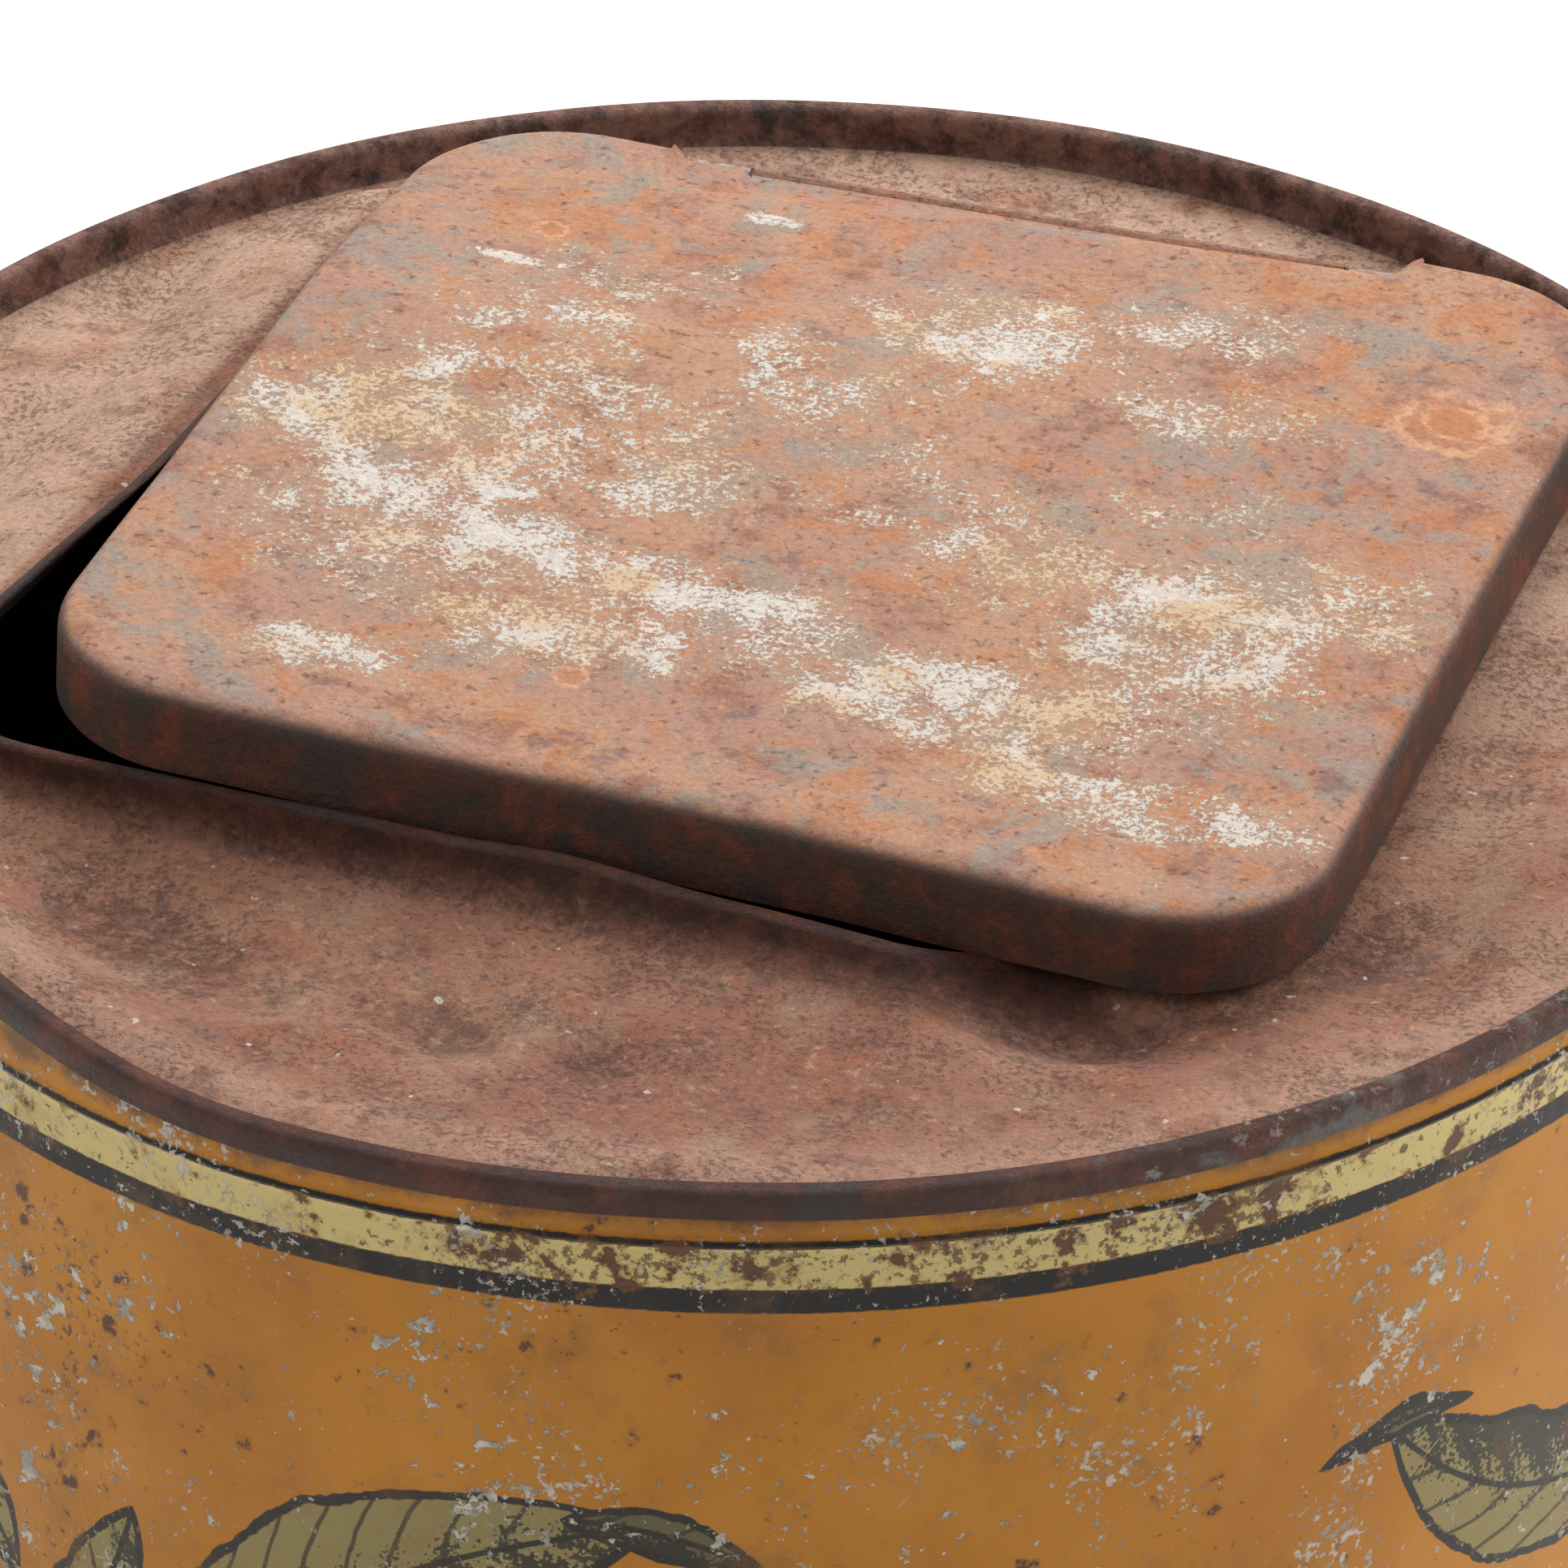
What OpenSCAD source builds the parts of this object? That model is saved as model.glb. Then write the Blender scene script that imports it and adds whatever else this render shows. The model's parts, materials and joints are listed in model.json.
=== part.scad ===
// Round counter tin with a countersunk top, a raised square opening and a wire-hinged lid.
// Origin at the centre of the base, +Z up, the hinge wire runs along X behind the opening.

/* [Body] */
// Outside diameter of the rolled body wall
body_d = 207; // [150:1:260]
// Height over both rims, from the floor to the top crest
body_h = 280; // [120:1:400]
// Thickness of the tinplate of every sheet piece
sheet = 0.4; // [0.3:0.05:0.5]

/* [Seams] */
// Height of the double seams, measured on the outside
seam_h = 4.1; // [3:0.1:6]
// Air left between the folded layers of a seam
seam_gap = 0.05; // [0.03:0.01:0.08]
// Radius on the two edges of a rim's crest
crest_r = 0.6; // [0.3:0.1:0.8]
// Depth of both end panels below their crests
countersink = 4.2; // [2.5:0.1:7]
// Drop from the top crest to the pressed bead in the wall
bead_drop = 7.7; // [6.5:0.1:20]
// Width of the pressed bead
bead_w = 1.6; // [1:0.1:3]
// How far the bead stands out of the wall
bead_h = 0.35; // [0.2:0.05:0.8]
// Width of the flattened lock seam down the back of the wall
lock_w = 6.5; // [4:0.5:10]
// Radius of the solder run along the lock seam
solder_r = 1.3; // [1:0.1:2]

/* [Opening] */
// Height of the collar's lip above the top panel
collar_h = 5.2; // [4.5:0.1:9]
// Thickness of the hem rolled outwards along the lip
hem_d = 1.4; // [1:0.1:2]
// Turn of the opening away from the hinge's direction, in degrees
collar_turn = -4.7; // [-8:0.1:0]
// Sideways place of the opening's centre
collar_x = -6; // [-8:0.5:0]
// Fore-and-aft place of the opening's centre
collar_y = 7.5; // [4:0.5:9]

/* [Lid] */
// Narrowest ledge left between the lid's back corner and the rim
lid_ledge = 4.7; // [3:0.1:12]
// Radius of the lid's corners, seen from above
lid_corner_r = 17.5; // [10:0.5:25]
// Radius of the fold between the lid's top and its skirt
fold_r = 1.8; // [1:0.1:3]
// Full height of the skirt, from the lid's top face down
skirt_h = 8.5; // [7:0.1:10]
// Play on each side between the lid's skirt and the collar's hem
lid_play = 0.8; // [0.5:0.1:2]
// Sideways place of the lid's centre
lid_x = 5; // [0:0.5:7]
// Fore-and-aft place of the lid's centre
lid_y = 13.5; // [10:0.5:15]
// Height of the lid's top face above the top crest, at the lid's centre
lid_rise = 8.2; // [7.5:0.1:10]
// Sideways lean of the lid, right side down, in degrees
lid_lean = 2.26; // [0:0.02:2.5]
// Room the crushed lip leaves around the skirt that lies in it
crush_room = 0.6; // [0.4:0.1:3]
// Air left under the skirt where it lies in the crushed lip
rest_gap = 0.35; // [0.3:0.05:1]

/* [Hinge] */
// Length of back skirt kept at each corner, the rest is cut away for the hinge
hinge_end = 24.5; // [22:0.5:35]
// Diameter of the hinge wire
wire_d = 1.6; // [1.2:0.1:2.2]
// Height of the hinge wire above the top crest
wire_rise = 1.8; // [1:0.1:2.5]
// Radial clearance between the wire and the lid's rolled barrel
wire_play = 0.06; // [0.03:0.01:0.1]
// Length of wire that stands out past each clip
wire_nib = 0.8; // [0.4:0.1:1]
// Width of each clip that holds the wire
clip_w = 6; // [4:0.5:8]
// Thickness of a clip's strip
clip_t = 0.6; // [0.4:0.05:0.9]
// Length of a clip's soldered foot, from its stem
clip_foot = 4; // [2.5:0.1:4.2]
// Side play between the barrel, the clips and the cut skirt
end_play = 0.5; // [0.3:0.1:1]
// Width of the solder run around a clip's foot
clip_solder_w = 0.7; // [0.4:0.1:1]
// Thickness of the solder run around a clip's foot
clip_solder_t = 0.3; // [0.2:0.05:0.4]

/* [Hidden] */
$fn = 96;
eps = 0.01;

body_r = body_d / 2;
wall_in_r = body_r - sheet;
layer = sheet + seam_gap;
seam_r = body_r + 3 * layer;
chuck_in_r = wall_in_r - layer;
panel_top = body_h - countersink;
hook_drop = layer + sheet;

// The lid is as large as the rim allows with its ledge, wherever its centre is put.
lid_reach = chuck_in_r - lid_ledge - lid_corner_r;
lid_off = abs(lid_x) + abs(lid_y);
lid_off2 = lid_x * lid_x + lid_y * lid_y;
lid_flat = (sqrt(lid_off * lid_off - 2 * (lid_off2 - lid_reach * lid_reach)) - lid_off) / 2;
lid_w = 2 * (lid_flat + lid_corner_r);
lid_back = lid_y + lid_w / 2;

collar_w = lid_w - 2 * (sheet + lid_play);
collar_corner_r = lid_corner_r - sheet - lid_play;
collar_top = panel_top + collar_h;

wire_r = wire_d / 2;
barrel_in_r = wire_r + wire_play;
barrel_r = barrel_in_r + sheet;
hinge_y = lid_back - sheet + barrel_r;
hinge_z = body_h + wire_rise;
hinge_gap_w = lid_w - 2 * hinge_end;
clip_out = hinge_gap_w / 2 - end_play - wire_nib;
wire_l = 2 * (clip_out + wire_nib);
barrel_l = 2 * (clip_out - clip_w - end_play);
clip_r = wire_r + clip_t;
clip_centres = [lid_x - clip_out + clip_w / 2, lid_x + clip_out - clip_w / 2];

function arc(cx, cy, r, from, to, steps = 6) =
    [for (i = [0:steps])
        let (a = from + (to - from) * i / steps)
        [cx + r * cos(a), cy + r * sin(a)]];

// Sweeps a section round a rounded square. The section's X is the distance outwards from the
// square's outline, and its Y is the height.
module swept_square(side, corner_r) {
    flat = side / 2 - corner_r;
    for (k = [0:3])
        rotate(90 * k) {
            translate([flat, flat, 0])
                rotate_extrude(angle = 90)
                    translate([corner_r, 0])
                        children();
            translate([side / 2, flat, 0])
                rotate([90, 0, 0])
                    linear_extrude(2 * flat)
                        children();
        }
}

// Outline of a rounded square, as flats short enough to lie within the collar's wall.
function rounded_outline(side, corner_r, steps = 12) =
    let (flat = side / 2 - corner_r)
    [for (k = [0:3], i = [0:steps])
        let (corner = 45 + 90 * k, a = 90 * k + 90 * i / steps)
        [flat * sqrt(2) * cos(corner) + corner_r * cos(a),
         flat * sqrt(2) * sin(corner) + corner_r * sin(a)]];

// Half section of an end's rim, crest at height 0: chuck wall, crest, outer layer and the
// end hook, which is folded up behind the wall's own hook.
module end_rim_section() {
    r5 = chuck_in_r;
    r1 = seam_r;
    polygon(concat(
        [[r5, -countersink - sheet]],
        arc(r5 + crest_r, -crest_r, crest_r, 180, 90),
        arc(r1 - crest_r, -crest_r, crest_r, 90, 0),
        [[r1, -seam_h],
         [r1 - 3 * layer + seam_gap, -seam_h],
         [r1 - 3 * layer + seam_gap, -hook_drop - seam_gap],
         [r1 - 2 * layer, -hook_drop - seam_gap],
         [r1 - 2 * layer, -seam_h + sheet],
         [r1 - sheet, -seam_h + sheet],
         [r1 - sheet, -sheet],
         [r5 + sheet, -sheet],
         [r5 + sheet, -countersink - sheet]]));
}

// One end: the rim and the sunk panel, which is a plain disc or has the shape given as child.
module end_shell() {
    rotate_extrude()
        end_rim_section();
    translate([0, 0, -countersink - sheet])
        linear_extrude(sheet)
            children();
}

// Half section of the wall's hook, crest at height 0: up from the wall, out and down again.
module wall_hook_section() {
    hook_out = seam_r - layer;
    translate([wall_in_r, -hook_drop])
        square([hook_out - wall_in_r, sheet]);
    translate([hook_out - sheet, -seam_h + layer])
        square([sheet, seam_h - layer - hook_drop + eps]);
}

module bead_section() {
    crown = body_r + bead_h;
    polygon([[body_r - eps, -bead_w / 2],
             [crown, -bead_w / 4],
             [crown, bead_w / 4],
             [body_r - eps, bead_w / 2]]);
}

// A strip of the lock seam, between two radii and from one end's height to the other's.
module lock_strip(inner_r, outer_r, end_h) {
    half = lock_w / 2 / body_r * 180 / PI;
    translate([0, 0, end_h + seam_gap])
        rotate(90 - half)
            rotate_extrude(angle = 2 * half)
                translate([inner_r, 0])
                    square([outer_r - inner_r, body_h - 2 * (end_h + seam_gap)]);
}

// The printed sheet, rolled to a tube, locked down the back and hooked into both ends.
module body_wall() {
    color("goldenrod") {
        rotate_extrude() {
            translate([wall_in_r, hook_drop - sheet / 2])
                square([sheet, body_h - 2 * hook_drop + sheet]);
            translate([0, body_h])
                wall_hook_section();
            mirror([0, 1])
                wall_hook_section();
            translate([0, body_h - bead_drop])
                bead_section();
        }
        lock_strip(body_r - eps, body_r + sheet, seam_h);
        lock_strip(wall_in_r - 2 * sheet, wall_in_r + eps, countersink + sheet);
    }
}

// Solder drawn into the step along the inside of the lock seam.
module seam_solder() {
    step = lock_w / 2 + solder_r / 2;
    bottom = countersink + sheet + seam_gap;
    color("silver")
        translate([0, 0, bottom])
            linear_extrude(body_h - 2 * bottom)
                intersection() {
                    difference() {
                        circle(wall_in_r);
                        circle(wall_in_r - 2 * sheet);
                    }
                    translate([step, wall_in_r - sheet])
                        square([solder_r, 4 * sheet], center = true);
                }
}

module bottom_end() {
    color("saddlebrown")
        mirror([0, 0, 1])
            end_shell()
                circle(chuck_in_r + sheet / 2);
}

module place_opening() {
    translate([collar_x, collar_y, 0])
        rotate(collar_turn)
            children();
}

module place_lid() {
    translate([lid_x, lid_y, body_h + lid_rise])
        rotate([0, lid_lean, 0])
            children();
}

module collar_section() {
    translate([-hem_d, -sheet])
        square([sheet, collar_h - hem_d / 2 + sheet]);
    translate([-hem_d / 2, collar_h - hem_d / 2])
        circle(hem_d / 2, $fn = 24);
}

// The band in which the skirt has crushed the lip flat.
module crushed_band() {
    place_lid()
        swept_square(lid_w, lid_corner_r)
            translate([-sheet - crush_room, -skirt_h - rest_gap])
                square([sheet + 2 * crush_room, skirt_h]);
}

// The sunk top with its raised square opening, whose lip is hemmed outwards. The panel's edge
// ends in the middle of the collar's wall.
module top_end() {
    wall_mid = hem_d - sheet / 2;
    color("sienna")
        difference() {
            union() {
                translate([0, 0, body_h])
                    end_shell()
                        difference() {
                            circle(chuck_in_r + sheet / 2);
                            place_opening()
                                polygon(rounded_outline(collar_w - 2 * wall_mid,
                                                        collar_corner_r - wall_mid));
                        }
                place_opening()
                    translate([0, 0, panel_top])
                        swept_square(collar_w, collar_corner_r)
                            collar_section();
            }
            crushed_band();
        }
}

// Section of the lid's edge: skirt, fold and the start of the top.
module lid_edge_section() {
    polygon(concat(
        [[0, -skirt_h]],
        arc(-fold_r, -fold_r, fold_r, 0, 90),
        [[-lid_corner_r + eps, 0], [-lid_corner_r + eps, -sheet]],
        arc(-fold_r, -fold_r, fold_r - sheet, 90, 0),
        [[-sheet, -skirt_h]]));
}

module lid_pan() {
    swept_square(lid_w, lid_corner_r)
        lid_edge_section();
    translate([0, 0, -sheet])
        linear_extrude(sheet)
            square(lid_w - 2 * lid_corner_r + 2 * eps, center = true);
}

// The lid: a square pan, cut away at the back, where its edge turns down and rolls round
// the wire as a barrel.
module lid() {
    cut_d = 2 * (fold_r + barrel_r);
    strap_top = skirt_h;
    color("peru")
        difference() {
            union() {
                difference() {
                    place_lid()
                        lid_pan();
                    translate([lid_x, lid_back, hinge_z])
                        cube([hinge_gap_w, cut_d, 2 * barrel_r + 2 * end_play], center = true);
                    translate([lid_x, lid_back, hinge_z - skirt_h / 2])
                        cube([hinge_gap_w, cut_d, skirt_h], center = true);
                }
                intersection() {
                    translate([lid_x - barrel_l / 2, lid_back - sheet, hinge_z])
                        cube([barrel_l, sheet, strap_top]);
                    place_lid()
                        translate([0, 0, -skirt_h - fold_r])
                            linear_extrude(skirt_h)
                                square(lid_w, center = true);
                }
                translate([lid_x - barrel_l / 2, hinge_y, hinge_z])
                    rotate([0, 90, 0])
                        cylinder(h = barrel_l, r = barrel_r);
            }
            translate([lid_x - barrel_l / 2 - eps, hinge_y, hinge_z])
                rotate([0, 90, 0])
                    cylinder(h = barrel_l + 2 * eps, r = barrel_in_r);
        }
}

module hinge_wire() {
    color("dimgray")
        translate([lid_x - wire_l / 2, hinge_y, hinge_z])
            rotate([0, 90, 0])
                cylinder(h = wire_l, r = wire_r);
}

module clip_outline_foot() {
    translate([-clip_w / 2, -clip_foot])
        square([clip_w, clip_foot + clip_t / 2]);
}

// One clip: a loop round the wire, a stem down to the top panel and a soldered foot.
module hinge_clip(x) {
    color("rosybrown")
        translate([x, hinge_y, 0])
            difference() {
                union() {
                    translate([-clip_w / 2, 0, hinge_z])
                        rotate([0, 90, 0])
                            cylinder(h = clip_w, r = clip_r);
                    translate([-clip_w / 2, -clip_t / 2, panel_top])
                        cube([clip_w, clip_t, hinge_z - panel_top]);
                    translate([0, 0, panel_top])
                        linear_extrude(clip_t)
                            clip_outline_foot();
                }
                translate([-clip_w / 2 - eps, 0, hinge_z])
                    rotate([0, 90, 0])
                        cylinder(h = clip_w + 2 * eps, r = wire_r);
            }
}

module hinge_clip_left() {
    hinge_clip(clip_centres[0]);
}

module hinge_clip_right() {
    hinge_clip(clip_centres[1]);
}

// The solder run along both sides of each clip's foot.
module clip_solder() {
    color("lightslategray")
        for (x = clip_centres, side = [-1, 1])
            translate([x + side * (clip_w + clip_solder_w) / 2,
                       hinge_y - clip_foot / 2, panel_top + clip_solder_t / 2])
                cube([clip_solder_w, clip_foot, clip_solder_t], center = true);
}

body_wall();
seam_solder();
bottom_end();
top_end();
lid();
hinge_wire();
hinge_clip_left();
hinge_clip_right();
clip_solder();
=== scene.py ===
"""A round lithographed tin, rusted and dented, with a square wire-hinged lid in its sunk top."""

import json
import logging
import math
from collections.abc import Callable, Sequence
from dataclasses import dataclass
from enum import Enum

import bmesh
import bpy
from mathutils import Matrix, Vector, noise


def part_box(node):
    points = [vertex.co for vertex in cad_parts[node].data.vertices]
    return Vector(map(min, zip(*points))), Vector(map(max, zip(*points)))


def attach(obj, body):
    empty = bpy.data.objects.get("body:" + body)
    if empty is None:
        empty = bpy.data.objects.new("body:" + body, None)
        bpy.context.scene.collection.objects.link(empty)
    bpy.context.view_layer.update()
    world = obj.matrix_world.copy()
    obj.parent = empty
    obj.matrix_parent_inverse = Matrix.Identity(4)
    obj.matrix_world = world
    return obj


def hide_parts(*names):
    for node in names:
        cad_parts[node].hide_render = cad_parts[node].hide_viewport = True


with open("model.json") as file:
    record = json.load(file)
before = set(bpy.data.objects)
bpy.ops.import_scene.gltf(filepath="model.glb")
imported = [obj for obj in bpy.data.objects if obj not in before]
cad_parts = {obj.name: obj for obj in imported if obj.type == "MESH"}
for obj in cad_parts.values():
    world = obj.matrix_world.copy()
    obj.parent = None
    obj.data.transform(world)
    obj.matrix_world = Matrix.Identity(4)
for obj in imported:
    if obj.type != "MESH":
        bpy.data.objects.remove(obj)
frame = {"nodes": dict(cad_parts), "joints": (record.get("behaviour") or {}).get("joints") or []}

LOG = logging.getLogger("tin")
Socket = bpy.types.NodeSocket
Piece = bpy.types.Object
MM = 0.001
SHEET = 0.4 * MM
ROUND_COUNT = 416
"""Points round every turned ring and every pressed square outline, so that the two can be bridged."""
CREASE = math.radians(40)
"""The angle over which two faces meet in an edge that shows."""
SEAM_START, SEAM_FULL = 101.6 * MM, 102.5 * MM
"""Between these radii an end's panel gives way to its seam."""


# ---------------------------------------------------------------- the workbench


class Element(Enum):
    """What an edit-mode selection picks."""

    EDGE = "EDGE"
    FACE = "FACE"


def clear_bench() -> None:
    """Leave edit mode and deselect everything, so that the next operator acts on its own piece."""
    if bpy.context.object and bpy.context.object.mode != "OBJECT":
        bpy.ops.object.mode_set(mode="OBJECT")
    bpy.ops.object.select_all(action="DESELECT")


def put_on_bench(piece: Piece) -> None:
    """Make a piece the active object and the only one selected."""
    clear_bench()
    piece.select_set(True)
    bpy.context.view_layer.objects.active = piece


def pick(element: Element, test: Callable) -> None:
    """Select the edges or faces of the piece in edit mode that pass a test, and nothing else.

    Args:
        element: The kind of element to look through.
        test: A rule that takes one bmesh edge or face and says whether it is wanted.
    """
    bpy.ops.mesh.select_mode(type=element.value)
    bpy.ops.mesh.select_all(action="DESELECT")
    mesh = bmesh.from_edit_mesh(bpy.context.object.data)
    for item in mesh.edges if element is Element.EDGE else mesh.faces:
        item.select_set(test(item))
    mesh.select_flush_mode()
    bmesh.update_edit_mesh(bpy.context.object.data)


def middle(edge: bmesh.types.BMEdge) -> Vector:
    """Return the middle of an edge."""
    return (edge.verts[0].co + edge.verts[1].co) / 2


def turn_rings(name: str, section: Sequence[tuple[float, float]]) -> Piece:
    """Turn a section round the tin's axis: a circle, extruded and resized ring by ring.

    Args:
        name: The new object's name.
        section: Radius and height of each ring in turn, in metres.

    Returns:
        The turned shell, still in edit mode, with its last ring selected.
    """
    clear_bench()
    radius, height = section[0]
    bpy.ops.mesh.primitive_circle_add(vertices=ROUND_COUNT, radius=radius, location=(0, 0, height))
    piece = bpy.context.object
    piece.name = name
    bpy.ops.object.transform_apply(location=True)
    bpy.ops.object.mode_set(mode="EDIT")
    bpy.ops.mesh.select_all(action="SELECT")
    for next_radius, next_height in section[1:]:
        rise = (0, 0, next_height - height)
        bpy.ops.mesh.extrude_edges_move(TRANSFORM_OT_translate={"value": rise})
        grow = next_radius / radius
        bpy.ops.transform.resize(value=(grow, grow, 1), center_override=(0, 0, 0))
        radius, height = next_radius, next_height
    return piece


def cut_square(name: str, width: float, corner: float, height: float) -> Piece:
    """Cut a flat square plate with rounded corners, one face with ROUND_COUNT points.

    Args:
        name: The new object's name.
        width: Its width across the flats.
        corner: The radius of its corners.
        height: The height it lies at.

    Returns:
        The plate, still in edit mode, with its face selected.
    """
    clear_bench()
    arc_steps = 16
    side_steps = ROUND_COUNT // 4 - arc_steps
    bpy.ops.mesh.primitive_plane_add(size=width, location=(0, 0, height))
    piece = bpy.context.object
    piece.name = name
    bpy.ops.object.transform_apply(location=True)
    bpy.ops.object.mode_set(mode="EDIT")
    bpy.ops.mesh.select_all(action="SELECT")
    bpy.ops.mesh.bevel(offset=corner, offset_type="OFFSET", segments=arc_steps, affect="VERTICES")
    pick(Element.EDGE, lambda edge: edge.calc_length() > corner)
    bpy.ops.mesh.subdivide(number_cuts=side_steps - 1)
    pick(Element.FACE, lambda face: True)
    return piece


def inset_along(section: Sequence[tuple[float, float]]) -> None:
    """Press the selected face inwards along a section, ring by ring.

    Args:
        section: How far in and how high each ring lies from the one before the first.
    """
    inward, height = 0.0, 0.0
    for next_inward, next_height in section:
        bpy.ops.mesh.inset(thickness=next_inward - inward, depth=next_height - height)
        inward, height = next_inward, next_height


def arc(radius: float, start: float, stop: float, steps: int) -> list[tuple[float, float]]:
    """Return the points of an arc round the origin, without its first point.

    Args:
        radius: The arc's radius.
        start: The first angle, in degrees.
        stop: The last angle, in degrees.
        steps: How many steps it has.

    Returns:
        Pairs of cosine and sine times the radius.
    """
    angles = [math.radians(start + (stop - start) * step / steps) for step in range(1, steps + 1)]
    return [(radius * math.cos(angle), radius * math.sin(angle)) for angle in angles]


def use_modifier(piece: Piece, kind: str, **settings: object) -> None:
    """Add a modifier to a piece and apply it.

    Args:
        piece: The object, which becomes the active one.
        kind: The modifier's type.
        **settings: Its properties.
    """
    put_on_bench(piece)
    modifier = piece.modifiers.new(kind.title(), kind)
    for key, value in settings.items():
        setattr(modifier, key, value)
    bpy.ops.object.modifier_apply(modifier=modifier.name)


def true_normals(piece: Piece, merge: float = 0.01 * MM) -> None:
    """Merge a piece's doubles and turn its faces outwards.

    Args:
        piece: The object.
        merge: How close two points are to be one.
    """
    put_on_bench(piece)
    bpy.ops.object.mode_set(mode="EDIT")
    bpy.ops.mesh.select_all(action="SELECT")
    bpy.ops.mesh.remove_doubles(threshold=merge)
    bpy.ops.mesh.normals_make_consistent(inside=False)
    bpy.ops.object.mode_set(mode="OBJECT")


def turn_over(piece: Piece, up: bool = True) -> None:
    """Turn a sheet over if its panel looks the wrong way.

    Args:
        piece: The sheet.
        up: Whether its panel should look up, or else down.
    """
    facing = sum(face.normal.z * face.area for face in piece.data.polygons)
    if facing < 0 if up else facing > 0:
        piece.data.flip_normals()


def thicken(piece: Piece, lined: bool = False) -> None:
    """Give a pressed sheet its thickness, away from the side it faces.

    Args:
        piece: The sheet.
        lined: Whether its other side gets a finish of its own, in a second slot.
    """
    if lined:
        piece.data.materials.append(None)
        piece.data.materials.append(None)
    other_side = {"material_offset": 1, "material_offset_rim": 0} if lined else {}
    use_modifier(piece, "SOLIDIFY", thickness=SHEET, offset=-1, **other_side)


def shape(piece: Piece, rule: Callable[[Vector], Vector]) -> None:
    """Move every point of a piece by a rule, as a thumb or a hammer would."""
    for vertex in piece.data.vertices:
        vertex.co = rule(vertex.co.copy())
    piece.data.update()


def mark(piece: Piece, name: str, rule: Callable[[Vector, Vector], float]) -> None:
    """Write a weight on every point of a piece, which its finish reads by name.

    Args:
        piece: The object.
        name: The attribute's name.
        rule: A rule that takes a point and its normal and gives the weight.
    """
    values = [rule(vertex.co, vertex.normal) for vertex in piece.data.vertices]
    piece.data.attributes.new(name, "FLOAT", "POINT").data.foreach_set("value", values)


def smooth(value: float, low: float, high: float) -> float:
    """Return 0 below low, 1 above high and a smooth step between; low may be the larger."""
    part = min(max((value - low) / (high - low), 0.0), 1.0)
    return part * part * (3 - 2 * part)


def wave(point: Vector, size: float, seed: float = 0.0) -> float:
    """Return smooth noise between about -1 and 1 whose humps are a given size across."""
    return noise.noise(point / size + Vector((seed, seed * 1.7, -seed)))


@dataclass(frozen=True)
class Dent:
    """A soft hollow in sheet metal; a depth below zero is a swelling.

    Attributes:
        place: The centre, in millimetres from the sheet's own origin.
        reach: The radius at which it dies out, in millimetres.
        depth: How deep it is, in millimetres.
        stretch: How much longer it is along its length.
        turn: The direction of its length, in degrees from +X.
    """

    place: tuple[float, float]
    reach: float
    depth: float
    stretch: float = 1.0
    turn: float = 0.0

    def weight(self, point: Vector) -> float:
        """Weigh a point by how far it is into the dent.

        Args:
            point: The point, in metres.

        Returns:
            1 in the middle, 0 at the dent's reach and beyond.
        """
        away = Vector((point.x / MM - self.place[0], point.y / MM - self.place[1]))
        away.rotate(Matrix.Rotation(math.radians(-self.turn), 2))
        far = ((away.x / self.stretch) ** 2 + away.y**2) / self.reach**2
        return (1 - far) ** 2 if far < 1 else 0.0


def hollow(dents: Sequence[Dent], point: Vector) -> float:
    """Return how far a group of dents presses a point down, in metres."""
    return sum(dent.weight(point) * dent.depth for dent in dents) * MM


def keep(piece: Piece, body: str, slot: str, *nodes: str) -> None:
    """Round a finished piece's edges to the eye, put it on its body and hide the nodes it stands for.

    Args:
        piece: The object.
        body: The body it rides on.
        slot: The name of its finish; not used.
        *nodes: The nodes it stands for.
    """
    put_on_bench(piece)
    bpy.ops.object.shade_smooth_by_angle(angle=CREASE)
    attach(piece, body)
    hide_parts(*nodes)
    LOG.info("%s: %d faces, for %s", piece.name, len(piece.data.polygons), ", ".join(nodes))


# ---------------------------------------------------------------- finishes


def linear(hex_colour: str) -> tuple[float, float, float, float]:
    """Turn an sRGB colour into a linear one.

    Args:
        hex_colour: The colour as # and six hex digits.

    Returns:
        Red, green, blue and alpha.
    """
    parts = [int(hex_colour[start : start + 2], 16) / 255 for start in (1, 3, 5)]
    red, green, blue = (p / 12.92 if p <= 0.04045 else ((p + 0.055) / 1.055) ** 2.4 for p in parts)
    return red, green, blue, 1.0


@dataclass(frozen=True)
class Blotch:
    """A colour that breaks out over a surface in cloudy patches.

    Attributes:
        colour: Its sRGB colour.
        size: How large the patches are, in millimetres.
        seed: Which cloud they follow.
        detail: How many finer octaves the cloud has.
        rough: How strong those are.
        low: The cloud's value from which the colour starts to show.
        high: The value from which it shows in full.
        strength: How much it covers, from 0 to 1.
        swirl: How far the cloud is pulled out of shape.
    """

    colour: str
    size: float
    seed: float
    detail: float
    rough: float
    low: float
    high: float
    strength: float
    swirl: float = 0.0


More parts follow.
